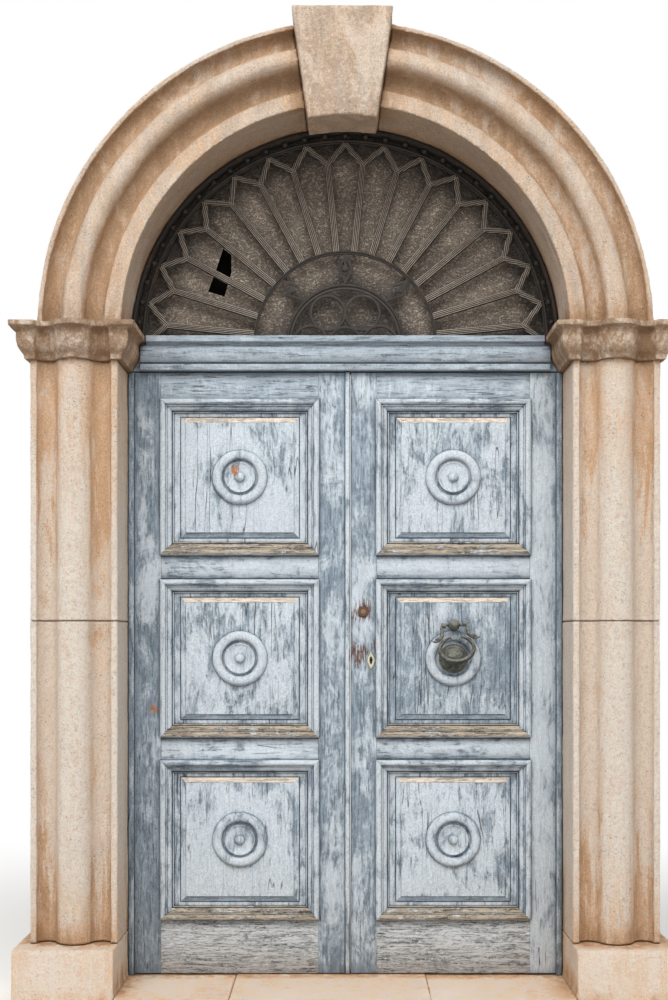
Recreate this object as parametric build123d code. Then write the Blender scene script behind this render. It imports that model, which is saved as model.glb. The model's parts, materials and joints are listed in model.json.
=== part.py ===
"""Arched double door: panelled timber leaves in a moulded stone surround, under an iron fanlight.

Millimetres, +Z up, +X to the right seen from the street, street side towards -Y.
The origin is on the centre line of the opening, in the plane of the leaves' faces,
at the underside of the threshold.
"""
import math
import os

from build123d import *

# Opening and timber frame
REVEAL_HALF = 755.0
LEAF_H = 2098.0
LEAF_T = 45.0
JAMB_W = 60.0
STOP_SHOW = 18.0
STOP_LAP = 8.0
STOP_T = 13.5
STOP_CLEAR = 0.5
GAP_SIDE = 3.0
GAP_MEETING = 4.0
BEAD_BEVEL = 1.4
EDGE_BEVEL = 1.0
GAP_BOTTOM = 3.0
GAP_TOP = 4.0
TRANSOM_H = 120.0
TRANSOM_BACK = 75.0

# Transom moulding: (depth behind its foremost line, drop below its top)
TRANSOM_PROUD = 30.0
CAP_COVE = ((0.0, 21.0), (13.0, 24.0), (17.0, 33.0))
TRANSOM_OVOLO = ((17.0, 33.0), (3.0, 60.0), (12.0, 92.0))
TRANSOM_QUIRK = (17.0, 95.0)
LOWER_BEAD = ((8.0, 98.0), (8.0, 117.0), (11.0, 120.0))

# Threshold slabs
SLAB_T = 60.0
SLAB_FRONT = -400.0
SLAB_BACK = 90.0
SLAB_JOINT_LEFT = -378.0
SLAB_JOINT_RIGHT = 279.0
SLAB_ARRIS = 3.0

# Stone pilasters, with one section: fillet, cove, roll, cove, fillet
FACE_DEPTH = 250.0
PILASTER_W = 296.0
FILLET_W = 27.0
COVE_REACH = 30.0
COVE_DEEP = 36.0
ROLL_OUT = 32.0
PLINTH_RISE = 156.0
PLINTH_PROUD = 95.0
PLINTH_SPREAD = 44.0
PLINTH_ARRIS = 14.0
SHAFT_JOINT_RISE = 1230.0

# Impost mouldings
IMPOST_H = 127.0
IMPOST_SLAB_H = 25.0
IMPOST_SLAB_OUT = 61.0
IMPOST_BODY_OUT = 41.0
IMPOST_FOOT_H = 13.0
IMPOST_FOOT_OUT = 18.0
IMPOST_SLAB_WAVE = 26.0
IMPOST_STEPS = ((0.0, 0.36), (0.10, 0.62), (0.26, 0.84), (0.50, 0.98), (0.76, 1.0), (1.0, 0.90))

# Arch
ARCH_DROP = 22.0
ARCH_INSET = 10.0
ARCH_R = REVEAL_HALF - ARCH_INSET
ARCH_W = 283.0
ARCH_INNER_FILLET = 25.0
ARCH_BAND = 36.0
ARCH_STEP = 5.0
ARCH_OUTER_FILLET = 22.0
ARCH_COVE_REACH = 29.0
KEY_DROP = 55.0
KEY_DROP_DEPTH = 180.0
KEY_PROUD = 55.0
KEY_FOOT_HALF = 117.0
KEY_SHIFT = -9.0
KEY_TAPER = 0.148
KEY_CROWN = 30.0

# Leaves: visible widths of the stiles; foot and height of each panel opening as shares of the leaf's height
HINGE_STILE_L = 90.0
MEETING_STILE_L = 90.0
BEAD_W = 16.0
BEAD_PROUD = 8.0
BEAD_ROUND = 6.0
HINGE_STILE_R = 88.0
MEETING_STILE_R = 86.0
MODULE_SHARES = (("bottom", 0.0887, 0.2669), ("middle", 0.3923, 0.2636), ("top", 0.6954, 0.2607))
MOULD_W = 47.0
MOULD_LAP = 4.0
MOULD_PROUD = 20.0
MITRE = 60.0
PANEL_FACE = 16.0
PANEL_T = 14.0
TONGUE_T = 8.0
TONGUE_IN = 8.0
TONGUE_CLEAR = 0.3
MARGIN_W = 27.0
BEVEL_W = 19.0
BEVEL_H = 8.0

# Moulding stick: (depth behind its foremost line, distance in from its outer edge)
STICK_ROLL = ((11.0, 0.0), (0.0, 10.5), (9.0, 21.0))
STICK_STEP = ((9.0, 25.0), (15.0, 25.0))
STICK_COVE = ((15.0, 25.0), (26.0, 31.0), (30.0, 43.0))

# Rosettes: (radius, height over the field) of outer ring, hollow and disc, then rim and ball
ROSETTE_RING = ((0.0, 0.0), (96.0, 0.0), (96.0, 7.0), (91.0, 14.0), (82.0, 16.0), (73.0, 7.0))
ROSETTE_DISC = ((53.5, 4.0), (53.5, 12.0))
ROSETTE_RIM = ((47.5, 13.0), (44.5, 9.0))
ROSETTE_BALL = (17.5, 8.0)
ROSETTE_TOP = 24.0
BALL_STEPS = 3

# Fanlight: radii from the centre of the arch
FAN_FRAME_W = 14.0
FAN_SEAT = 0.3
STUD_R = 9.5
STUD_H = 10.0
STUD_TAPER = 20
STUD_LAP = 2.0
STUD_COUNT = 33
FAN_FRONT = -20.0
SASH_FRONT = 24.0
SASH_BACK = 48.0
SASH_W = 30.0
GLASS_T = 5.0
GLASS_BED = 9.0
OUTER_RING_R = ARCH_R * 0.952
OUTER_RING_W = 14.0
MIDDLE_RING_R = ARCH_R * 0.434
MIDDLE_RING_W = 13.0
INNER_RING_R = ARCH_R * 0.2765
INNER_RING_W = 20.0
RING_T = 12.0
BAR_T = 8.0
RIB_T = 5.0
SPOKE_W = 17.0
SPOKE_RIB_W = 9.0
SPOKE_COUNT = 16
FORK_R = ARCH_R * 0.839
LOBE_SHARE = 0.35
EYE_SHARE = 0.3226
LOBE_BAR = 11.0
LOBE_ANGLES = (0, 60, 120, 180)
LOZENGE_W = 56.0
LOZENGE_BAR = 9.0
LOZENGE_PIN = 6.0
LOZENGE_ANGLES = (45, 90, 135)
BROKEN_OUT = (
    (-0.576, 0.456), (-0.537, 0.426), (-0.536, 0.344), (-0.569, 0.228), (-0.648, 0.252), (-0.601, 0.381)
)

# Strap hinges, one on the back of the bottom, lower and top rails
HINGE_PIN_R = 8.0
HINGE_RUN = 0.05
HINGE_EYE_R = 13.0
HINGE_CLEAR = 1.0
STRAP_T = 5.0
STRAP_H = 40.0
STRAP_L = 360.0
STRAP_TIP = 14.0
PIN_ABOVE = 4.0
PINTLE_H = 25.0
PINTLE_MARGIN = 6.0
PINTLE_GAP = 0.5

# Knocker: its pin's height over the middle of the middle panel, and its parts
KNOCKER_RISE = 116.5
PIVOT_PROUD = 42.0
PIVOT_R = 5.0
PIVOT_RUN = 0.08
PIN_PROUD = 3.0
BALL_R = 21.0
BOSS_STEPS = 8
STEM_R = 10.0
ARM_X = 36.0
ARM_EYE_R = 10.0
ARM_EYE_HALF = 6.0
ARM_BAR_R = 5.0
ARM_STEPS = ((0.0, -4.0), (1.0, -36.0), (24.0, -50.0), (48.0, -50.0))
ARM_BEND = 18.0
BAR_SIDES = 8
RING_RX = 59.0
RING_RZ = 46.0
RING_END_R = 36.0
RING_BAR_R = 6.5
RING_DROP = 75.0
STRIKER_R = 52.0
STRIKER_RIM = 5.0
STRIKER_H = 28.0
STRIKER_STEPS = 6
KNOCKER_TILT = 8.0
STRIKE_GAP = 0.3
NUB_R = 7.0

# Locks, keeps and shoot bolts on the room side
CYLINDER_X = 62.7
CYLINDER_Z = 1263.0
CYLINDER_R = 17.5
COLLAR_PROUD = 5.0
BARREL_R = 13.0
BARREL_CLEAR = 0.2
PLUG_R = 8.0
PLUG_RUN = 0.05
PLUG_PROUD = 6.0
KEY_SLOT = (2.4, -6.0, 4.0, 18.0)
KEYHOLE_X = 90.0
KEYHOLE_Z = 1093.0
KEYHOLE_R = 4.0
KEYHOLE_SLOT = (1.8, 12.0)
KEY_WAY_R = 5.0
LOZENGE_PLATE = (32.0, 68.0, 2.5)
SCREW_R = 2.6
SCREW_SHARE = 0.36
CASE_T = 26.0
CASE_INSET = 4.0
CASE_ARRIS = 2.0
BOLT_END_CLEAR = 2.0
CASES = (("upper", CYLINDER_Z, 110.0, 96.0), ("lower", KEYHOLE_Z, 130.0, 124.0))
BOLT_T = 12.0
BOLT_H = 26.0
BOLT_L = 64.0
SLIDE_CLEAR = 0.3
KEEP_L = 50.0
KEEP_H = 56.0
KEEP_INSET = 2.0
KEEP_CLEAR = 1.0
SHOOT_R = 7.0
SHOOT_RUN = 0.08
SHOOT_L = 260.0
SHOOT_THROW = 36.0
SHOOT_BACK = 6.0
SHOOT_X = -45.0
GUIDE_W = 34.0
GUIDE_D = 24.0
GUIDE_H = 26.0
GUIDE_AT = 40.0
KNOB_R = 6.0
KNOB_L = 24.0
SOCKET_CLEAR = 1.5

# How far a cutting block runs past the piece it cuts
OVER = 1.0
FAR = 50.0
NEAR = 0.01

# Levels and lines that follow from the sizes above
MODULES = [(name, LEAF_H * foot, LEAF_H * high) for name, foot, high in MODULE_SHARES]
KNOCKER_Z = MODULES[1][1] + MODULES[1][2] / 2 + KNOCKER_RISE
RAIL_CENTRES = (
    MODULES[0][1] / 2,
    (MODULES[0][1] + MODULES[0][2] + MODULES[1][1]) / 2,
    (MODULES[2][1] + MODULES[2][2] + LEAF_H) / 2,
)
LEAF_Z = SLAB_T + GAP_BOTTOM
TRANSOM_Z = LEAF_Z + LEAF_H + GAP_TOP
SPRING_Z = TRANSOM_Z + TRANSOM_H
ARCH_Z = SPRING_Z - ARCH_DROP
IMPOST_Z = SPRING_Z - IMPOST_H
STONE_BACK = LEAF_T
CLEAR_HALF = REVEAL_HALF - STOP_SHOW
REBATE_HALF = CLEAR_HALF + JAMB_W
LEAF_EDGE = CLEAR_HALF + STOP_LAP
LEFT_MEET = 0.0
RIGHT_MEET = LEFT_MEET + BEAD_W + GAP_MEETING
AXIS_X = LEAF_EDGE + GAP_SIDE / 2
AXIS_Y = LEAF_T + HINGE_EYE_R + HINGE_CLEAR
FIELD_FACE = PANEL_FACE - BEVEL_H
ROSE_R = INNER_RING_R - INNER_RING_W
LOBE_R = ROSE_R * LOBE_SHARE
LOBE_AT = ROSE_R - LOBE_R
EYE_RING_R = ROSE_R * EYE_SHARE
SHOOT_Y = LEAF_T + GUIDE_D / 2
STRIKER_SEAT = ROSETTE_DISC[-1][1]


def box(x0, x1, y0, y1, z0, z1):
    """A block between two corners."""
    return Pos((x0 + x1) / 2, (y0 + y1) / 2, (z0 + z1) / 2) * Box(x1 - x0, y1 - y0, z1 - z0)


def rod_y(radius, x, z, y0, y1):
    """A round bar along Y."""
    return Pos(x, (y0 + y1) / 2, z) * Rot(90, 0, 0) * Cylinder(radius, y1 - y0)


def rod_z(radius, x, y, z0, z1):
    """A round bar along Z."""
    return Pos(x, y, (z0 + z1) / 2) * Cylinder(radius, z1 - z0)


def rod_x(radius, y, z, x0, x1):
    """A round bar along X."""
    return Pos((x0 + x1) / 2, y, z) * Rot(0, 90, 0) * Cylinder(radius, x1 - x0)


def mirrored(shape):
    """The same piece on the other side of the centre line."""
    return mirror(shape, about=Plane.YZ)


def prism_xz(points, y0, y1):
    """A polygon seen from the front, carried through from y0 to y1."""
    face = make_face(Polyline(*[(x, y0, z) for x, z in points], close=True))
    return extrude(face, y1 - y0, dir=(0, 1, 0))


def upright(points, z0, z1):
    """A polygon seen from above, carried up from z0 to z1."""
    face = make_face(Polyline(*[(x, y, z0) for x, y in points], close=True))
    return extrude(face, z1 - z0, dir=(0, 0, 1))


def ring_xz(outer, inner, y0, y1, x=0.0, z=ARCH_Z):
    """A flat ring round an axis along Y."""
    return rod_y(outer, x, z, y0, y1) - rod_y(inner, x, z, y0 - 1, y1 + 1)


def outline(*rows):
    """A closed face from rows of points: two points make a line, three an arc."""
    return make_face([Line(*row) if len(row) == 2 else ThreePointArc(*row) for row in rows])


def dome(radius, foot, top, steps):
    """The outline of a round cap from its edge up to the axis, as points on the arc of one circle."""
    rise = top - foot
    big = (radius * radius + rise * rise) / (2 * rise)
    low = top - big
    start = math.acos((foot - low) / big)
    turns = [start * (1 - i / steps) for i in range(steps + 1)]
    return [(big * math.sin(a), low + big * math.cos(a)) for a in turns]


def turned(points):
    """A polygon of radius and height, turned round an axis that points to the street."""
    ring = revolve(make_face(Polyline(*points, close=True)), Axis.Y, 360)
    return mirror(ring, about=Plane.XZ)


def edges_at(edges, axis, place, end=None):
    """The edges that lie between two places along an axis."""
    return edges.filter_by_position(axis, place - NEAR, (place if end is None else end) + NEAR)


def above(shape, z):
    """What of a shape stands above a level."""
    return split(shape, bisect_by=Plane.XY.offset(z), keep=Keep.TOP)


def wave(start, end, fillet_a, fillet_b, reach, deep, out):
    """The points of fillet, cove, roll, cove, fillet from start to end, as (place, height) pairs.

    The coves and the roll are circles that touch, so the curve has no corner between them."""
    a, b = start + fillet_a, end - fillet_b
    mid = (a + b) / 2
    centre = (reach * reach - deep * deep) / (2 * deep)
    cove_r = deep + centre
    span = mid - a - reach
    roll_r = (span**2 + (out - centre) ** 2 - cove_r**2) / (2 * (cove_r + out - centre))
    slope_x = span / (roll_r + cove_r)
    slope_h = (out - roll_r - centre) / (roll_r + cove_r)
    touch = (a + reach + cove_r * slope_x, centre + cove_r * slope_h)
    back = (2 * mid - touch[0], touch[1])
    return (a, 0.0), (a + reach, -deep), touch, (mid, out), back, (b - reach, -deep), (b, 0.0)


def wavy_outline(out, deep, roll):
    """The plan of the right pilaster, grown outwards by out, as one face at level zero."""
    x0, x1 = REVEAL_HALF - out, REVEAL_HALF + PILASTER_W + out
    face_y = -FACE_DEPTH - out
    p = [(x, face_y - h) for x, h in wave(x0, x1, FILLET_W + out, FILLET_W + out, COVE_REACH, deep, roll)]
    edges = [
        Line((x0, 0), (x0, face_y)),
        Line((x0, face_y), p[0]),
        ThreePointArc(p[0], p[1], p[2]),
        ThreePointArc(p[2], p[3], p[4]),
        ThreePointArc(p[4], p[5], p[6]),
        Line(p[6], (x1, face_y)),
        Line((x1, face_y), (x1, STONE_BACK)),
        Line((x1, STONE_BACK), (REBATE_HALF, STONE_BACK)),
        Line((REBATE_HALF, STONE_BACK), (REBATE_HALF, 0)),
        Line((REBATE_HALF, 0), (x0, 0)),
    ]
    return make_face(edges)


def shaft(z0, z1):
    """One block of the right pilaster."""
    return extrude(Pos(0, 0, z0) * wavy_outline(0, COVE_DEEP, ROLL_OUT), z1 - z0)


def plinth():
    """The right plinth block, with its arrises taken off round the top."""
    x0, x1 = REVEAL_HALF, REVEAL_HALF + PILASTER_W + PLINTH_SPREAD
    top = SLAB_T + PLINTH_RISE
    body = box(x0, x1, -FACE_DEPTH - PLINTH_PROUD, STONE_BACK, 0, top)
    rim = edges_at(body.edges(), Axis.Z, top)
    body = chamfer(edges_at(rim, Axis.Y, -FACE_DEPTH - PLINTH_PROUD, -FACE_DEPTH), PLINTH_ARRIS)
    return body - box(x0 - OVER, REBATE_HALF, 0, STONE_BACK + OVER, -OVER, top + OVER)


def impost():
    """The right impost: foot fillet, ovolo body and top slab, following the pilaster's section."""
    foot_top = IMPOST_Z + IMPOST_FOOT_H
    body_top = SPRING_Z - IMPOST_SLAB_H
    foot_face = wavy_outline(IMPOST_FOOT_OUT, COVE_DEEP, ROLL_OUT)
    foot = extrude(Pos(0, 0, IMPOST_Z) * foot_face, IMPOST_FOOT_H)
    rise = body_top - foot_top
    sections = []
    for share, reach in IMPOST_STEPS:
        out = IMPOST_BODY_OUT * reach
        soften = IMPOST_SLAB_WAVE + (COVE_DEEP - IMPOST_SLAB_WAVE) * (1 - share)
        sections.append(Pos(0, 0, foot_top + rise * share) * wavy_outline(out, soften, soften))
    body = loft(sections, ruled=True)
    slab_face = wavy_outline(IMPOST_SLAB_OUT, IMPOST_SLAB_WAVE, IMPOST_SLAB_WAVE)
    slab = extrude(Pos(0, 0, body_top) * slab_face, IMPOST_SLAB_H)
    return foot + body + slab


def key_half(z):
    """Half the keystone's width at a level."""
    return KEY_FOOT_HALF + (z - (ARCH_Z + ARCH_R - KEY_DROP)) * KEY_TAPER


def key_wedge(y0, y1, shift):
    """The keystone's wedge between two depths, shifted off the centre line."""
    low = ARCH_Z + ARCH_R - KEY_DROP - FAR
    top = ARCH_Z + ARCH_R + ARCH_W + KEY_CROWN
    a, b = key_half(low), key_half(top)
    return prism_xz([(shift - a, low), (shift + a, low), (shift + b, top), (shift - b, top)], y0, y1)


def archivolt(shift):
    """The right half of the arch: its section turned round the centre, cut at impost and shifted keystone."""
    r0 = ARCH_R
    r1 = ARCH_R + ARCH_W
    band = r0 + ARCH_INNER_FILLET
    flat = band + ARCH_BAND
    y = -FACE_DEPTH
    pts = wave(flat, r1, 0, ARCH_OUTER_FILLET, ARCH_COVE_REACH, COVE_DEEP, ROLL_OUT)
    low = y + ARCH_STEP
    p = [(flat, low)] + [(r, y - h) for r, h in pts[1:]]
    section = make_face(
        [
            Line((r0, STONE_BACK), (r0, y)),
            Line((r0, y), (band, y)),
            Line((band, y), (band + ARCH_STEP, low)),
            Line((band + ARCH_STEP, low), p[0]),
            ThreePointArc(p[0], p[1], p[2]),
            ThreePointArc(p[2], p[3], p[4]),
            ThreePointArc(p[4], p[5], p[6]),
            Line(p[6], (r1, y)),
            Line((r1, y), (r1, STONE_BACK)),
            Line((r1, STONE_BACK), (r0, STONE_BACK)),
        ]
    )
    ring = Pos(0, 0, ARCH_Z) * revolve(section, Axis.Y, -90)
    return above(ring, SPRING_Z) - key_wedge(-FACE_DEPTH * 2, STONE_BACK + OVER, shift)


def keystone():
    """The wedge that closes the arch; its front part hangs below the soffit."""
    front = -FACE_DEPTH - KEY_PROUD
    back = front + KEY_DROP_DEPTH
    block = key_wedge(front, STONE_BACK, KEY_SHIFT)
    block = block - rod_y(ARCH_R, 0, ARCH_Z, back, STONE_BACK + OVER)
    return block - rod_y(ARCH_R - KEY_DROP, 0, ARCH_Z, front - OVER, back)


def jamb():
    """The right jamb: post and, in front of the leaf's edge, the stop that the leaf closes against.

    The stop ends under the impost."""
    inner = LEAF_EDGE + GAP_SIDE
    section = [
        (REVEAL_HALF, -STOP_T - STOP_CLEAR),
        (CLEAR_HALF, -STOP_T - STOP_CLEAR),
        (CLEAR_HALF, -STOP_CLEAR),
        (inner, -STOP_CLEAR),
        (inner, LEAF_T),
        (REBATE_HALF, LEAF_T),
        (REBATE_HALF, 0),
        (REVEAL_HALF, 0),
    ]
    stop_front = -STOP_T - STOP_CLEAR - OVER
    above_stop = box(CLEAR_HALF - OVER, REVEAL_HALF + OVER, stop_front, 0, IMPOST_Z, TRANSOM_Z + OVER)
    return upright(section, SLAB_T, TRANSOM_Z) - above_stop


def threshold_slab(x0, x1):
    """One slab, with small arrises at its upper edges."""
    slab = box(x0, x1, SLAB_FRONT, SLAB_BACK, 0, SLAB_T)
    return chamfer(edges_at(slab.edges(), Axis.Z, SLAB_T), SLAB_ARRIS)


def threshold_pieces():
    """Three slabs between the plinths; the outer two are notched round them."""
    ends = [-REBATE_HALF, SLAB_JOINT_LEFT, SLAB_JOINT_RIGHT, REBATE_HALF]
    slabs = [threshold_slab(a, b) for a, b in zip(ends, ends[1:])]
    notch = box(REVEAL_HALF, REBATE_HALF + OVER, SLAB_FRONT - OVER, 0, -OVER, SLAB_T + OVER)
    socket = rod_z(SHOOT_R + SOCKET_CLEAR, SHOOT_X, SHOOT_Y, SLAB_T / 2, SLAB_T + OVER)
    return {
        "threshold_left": slabs[0] - mirrored(notch),
        "threshold_middle": slabs[1] - socket,
        "threshold_right": slabs[2] - notch,
    }


def transom():
    """The moulded beam over the leaves: square beam, cap and body moulding."""
    beam = box(-REBATE_HALF, REBATE_HALF, 0, TRANSOM_BACK, TRANSOM_Z, SPRING_Z)
    cap_reach = REVEAL_HALF - IMPOST_SLAB_OUT - OVER
    body_reach = REVEAL_HALF - IMPOST_BODY_OUT - OVER

    def at(reach, spot):
        return (-reach, spot[0] - TRANSOM_PROUD, SPRING_Z - spot[1])

    under_cap = CAP_COVE[2]
    cap_spots = ((TRANSOM_PROUD, 0), (0, 0), *CAP_COVE, (TRANSOM_PROUD, under_cap[1]))
    cap = [at(cap_reach, spot) for spot in cap_spots]
    cap_face = outline(cap[0:2], cap[1:3], cap[2:5], cap[4:6], (cap[5], cap[0]))
    body_spots = (
        (TRANSOM_PROUD, under_cap[1]),
        *TRANSOM_OVOLO,
        TRANSOM_QUIRK,
        *LOWER_BEAD,
        (TRANSOM_PROUD, TRANSOM_H),
    )
    body = [at(body_reach, spot) for spot in body_spots]
    rows = [body[0:2], body[1:4]]
    rows += [body[i : i + 2] for i in range(3, len(body) - 1)]
    rows += [(body[-1], body[0])]
    cap_run = extrude(cap_face, 2 * cap_reach, dir=(1, 0, 0))
    body_run = extrude(outline(*rows), 2 * body_reach, dir=(1, 0, 0))
    socket = rod_z(SHOOT_R + SOCKET_CLEAR, SHOOT_X, SHOOT_Y, TRANSOM_Z - OVER, TRANSOM_Z + SHOOT_THROW)
    return beam + cap_run + body_run - socket


def stick(length):
    """One bolection stick, mitred at both ends, lying along X with its outer edge at z = 0."""

    def at(spot):
        return (0, spot[0] - MOULD_PROUD, spot[1])

    roll = [at(spot) for spot in STICK_ROLL]
    step = [at(spot) for spot in STICK_STEP]
    cove = [at(spot) for spot in STICK_COVE]
    lip = at((STICK_COVE[-1][0], MOULD_W))
    foot = [(0, PANEL_FACE, MOULD_W), (0, PANEL_FACE, MOULD_LAP), (0, 0, MOULD_LAP), (0, 0, 0)]
    face = outline(
        (foot[3], roll[0]),
        roll,
        (roll[2], step[0]),
        step,
        cove,
        (cove[2], lip),
        (lip, foot[0]),
        foot[0:2],
        foot[1:3],
        foot[2:4],
    )
    bar = extrude(face, length, dir=(1, 0, 0))
    mitre = prism_xz([(0, 0), (length, 0), (length - MITRE, MITRE), (MITRE, MITRE)], -FAR, FAR)
    return bar & mitre


def moulding_frame(x0, z0, width, height):
    """Four mitred sticks round one panel."""
    across, upright = stick(width), stick(height)
    return [
        Pos(x0, 0, z0) * across,
        Pos(x0 + width, 0, z0) * Rot(0, -90, 0) * upright,
        Pos(x0 + width, 0, z0 + height) * Rot(0, 180, 0) * across,
        Pos(x0, 0, z0 + height) * Rot(0, 90, 0) * upright,
    ]


def panel(x0, z0, width, height):
    """A fielded panel: tongued plate with a raised, bevelled field."""
    lap = MOULD_LAP
    a, b, c, d = x0 + lap, x0 + width - lap, z0 + lap, z0 + height - lap
    middle = PANEL_FACE + PANEL_T / 2
    plate = box(a, b, PANEL_FACE, PANEL_FACE + PANEL_T, c, d)
    tongue_half = TONGUE_T / 2
    reach = TONGUE_IN
    tongue = box(a - reach, b + reach, middle - tongue_half, middle + tongue_half, c - reach, d + reach)
    inset = MOULD_W + MARGIN_W
    cx, cz = x0 + width / 2, z0 + height / 2
    foot = Plane((cx, PANEL_FACE, cz), x_dir=(1, 0, 0), z_dir=(0, -1, 0))
    top = Plane((cx, FIELD_FACE, cz), x_dir=(1, 0, 0), z_dir=(0, -1, 0))
    low = foot * Rectangle(width - 2 * inset, height - 2 * inset)
    high = top * Rectangle(width - 2 * (inset + BEVEL_W), height - 2 * (inset + BEVEL_W))
    return plate + tongue + loft([low, high])


def groove(x0, z0, width, height):
    """The groove round one panel opening, a little larger than the panel's tongue."""
    grow = TONGUE_IN - MOULD_LAP + TONGUE_CLEAR
    middle = PANEL_FACE + PANEL_T / 2
    half = TONGUE_T / 2 + TONGUE_CLEAR
    return box(x0 - grow, x0 + width + grow, middle - half, middle + half, z0 - grow, z0 + height + grow)


def rosette(cx, cz, with_ball=True):
    """A turned patera: outer ring, hollow, rimmed disc and ball; the plain one ends in a flat disc."""
    points = [*ROSETTE_RING, *ROSETTE_DISC]
    if with_ball:
        points += [*ROSETTE_RIM, *dome(*ROSETTE_BALL, ROSETTE_TOP, BALL_STEPS)]
    else:
        points.append((0, STRIKER_SEAT))
    return Pos(cx, FIELD_FACE, cz) * turned(points)


def leaf(side, x0, xa, xb, x1, hinge_first):
    """The timber of one leaf: its edges are x0 and x1, its panel openings reach from xa to xb."""
    lap = MOULD_LAP
    width = xb - xa
    grooves = [groove(xa, LEAF_Z + z, width, h) for _, z, h in MODULES]
    cut = grooves[0] + grooves[1] + grooves[2]
    first = box(x0, xa + lap, 0, LEAF_T, LEAF_Z, LEAF_Z + LEAF_H) - cut
    last = box(xb - lap, x1, 0, LEAF_T, LEAF_Z, LEAF_Z + LEAF_H) - cut
    hinge_stile, meeting_stile = (first, last) if hinge_first else (last, first)
    pieces = {f"{side}_hinge_stile": hinge_stile, f"{side}_meeting_stile": meeting_stile}
    levels = [0.0]
    for _, z, h in MODULES:
        levels += [z + lap, z + h - lap]
    levels.append(LEAF_H)
    for name, low, high in zip(("bottom", "lower", "upper", "top"), levels[::2], levels[1::2]):
        rail = box(xa + lap, xb - lap, 0, LEAF_T, LEAF_Z + low, LEAF_Z + high) - cut
        pieces[f"{side}_{name}_rail"] = rail
    panels, mouldings, rosettes = [], [], []
    for name, z, h in MODULES:
        panels.append(panel(xa, LEAF_Z + z, width, h))
        mouldings += moulding_frame(xa, LEAF_Z + z, width, h)
        plain = side == "right" and name == "middle"
        rosettes.append(rosette((xa + xb) / 2, LEAF_Z + z + h / 2, not plain))
    pieces[f"{side}_panels"] = Compound(panels)
    pieces[f"{side}_mouldings"] = Compound(mouldings)
    pieces[f"{side}_rosettes"] = Compound(rosettes)
    return pieces


def meeting_bead():
    """The rounded strip planted on the left leaf's meeting edge, as thick as the leaf."""
    far = LEFT_MEET + BEAD_W
    section = [
        (LEFT_MEET, -BEAD_PROUD),
        (far, -BEAD_PROUD),
        (far, 0),
        (far + BEAD_BEVEL, LEAF_T),
        (LEFT_MEET, LEAF_T),
    ]
    strip = upright(section, LEAF_Z, LEAF_Z + LEAF_H)
    return fillet(edges_at(strip.edges().filter_by(Axis.Z), Axis.Y, -BEAD_PROUD), BEAD_ROUND)


def strap(z):
    """A right-hand strap with its rolled eye, at one height."""
    ring = rod_z(HINGE_EYE_R, AXIS_X, AXIS_Y, z, z + STRAP_H)
    plate = box(AXIS_X - STRAP_L, AXIS_X, LEAF_T, LEAF_T + STRAP_T, z, z + STRAP_H)
    tip = edges_at(plate.edges().filter_by(Axis.Y), Axis.X, AXIS_X - STRAP_L)
    plate = chamfer(tip, STRAP_TIP)
    return plate + ring - rod_z(HINGE_PIN_R + HINGE_RUN, AXIS_X, AXIS_Y, z - 1, z + STRAP_H + 1)


def pintle(z):
    """The right-hand pintle under one strap: plate on the jamb, boss and pin."""
    top = z - PINTLE_GAP
    boss = rod_z(HINGE_EYE_R, AXIS_X, AXIS_Y, top - PINTLE_H, top)
    plate_end = REBATE_HALF - PINTLE_MARGIN
    plate = box(AXIS_X, plate_end, STONE_BACK, STONE_BACK + STRAP_T, top - PINTLE_H, top)
    pin = rod_z(HINGE_PIN_R, AXIS_X, AXIS_Y, top - OVER, z + STRAP_H + PIN_ABOVE)
    return boss + plate + pin


def half_ring(outer, width, y0, y1):
    """A ring of the fanlight, standing on the transom."""
    return above(ring_xz(outer, outer - width, y0, y1), SPRING_Z)


def at_angle(shape, degrees):
    """A piece drawn pointing along +X from the arch's centre, turned up to its angle."""
    return Pos(0, 0, ARCH_Z) * Rot(0, -degrees, 0) * shape


def grille_frame():
    """The flat bar bent round the opening, with its row of studs."""
    outer = ARCH_R - FAN_SEAT
    bar = half_ring(outer, FAN_FRAME_W, FAN_FRONT, SASH_FRONT)
    inner = outer - FAN_FRAME_W
    row_r = inner - STUD_R + STUD_LAP
    step = 180 / (STUD_COUNT - 1)
    for i in range(STUD_COUNT):
        angle = step * i
        if row_r * math.sin(math.radians(angle)) < ARCH_DROP + STUD_R:
            continue
        foot = Plane((row_r, FAN_FRONT + STUD_H, 0), x_dir=(1, 0, 0), z_dir=(0, -1, 0))
        stud = extrude(foot * RegularPolygon(STUD_R, BAR_SIDES), STUD_H, taper=STUD_TAPER)
        bar += at_angle(stud, angle)
    return bar


def spoke():
    """One Y-shaped spoke along +X: stem, two fork arms and a raised rib, cut to its own sector."""
    half = 180 / SPOKE_COUNT / 2
    inner = OUTER_RING_R - OUTER_RING_W
    tip = (inner * math.cos(math.radians(half)), inner * math.sin(math.radians(half)))
    run = math.dist((FORK_R, 0), tip)
    lean = math.degrees(math.atan2(tip[1], tip[0] - FORK_R))

    def bars(width, y0, y1):
        stem = box(MIDDLE_RING_R - FAR, FORK_R, y0, y1, -width / 2, width / 2)
        arm = box(0, run + FAR, y0, y1, -width / 2, width / 2)
        boss = rod_y(width / 2, FORK_R, 0, y0, y1)
        up = Pos(FORK_R, 0, 0) * Rot(0, -lean, 0) * arm
        down = Pos(FORK_R, 0, 0) * Rot(0, lean, 0) * arm
        return stem + up + down + boss

    body = bars(SPOKE_W, -BAR_T, 0) + bars(SPOKE_RIB_W, -BAR_T - RIB_T, -BAR_T)
    far = OUTER_RING_R + FAR
    wide = far * math.tan(math.radians(half))
    sector = prism_xz([(0, 0), (far, -wide), (far, wide)], -FAR, FAR)
    annulus = ring_xz(inner, MIDDLE_RING_R, -FAR, FAR, 0, 0)
    return body & sector & annulus


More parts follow.
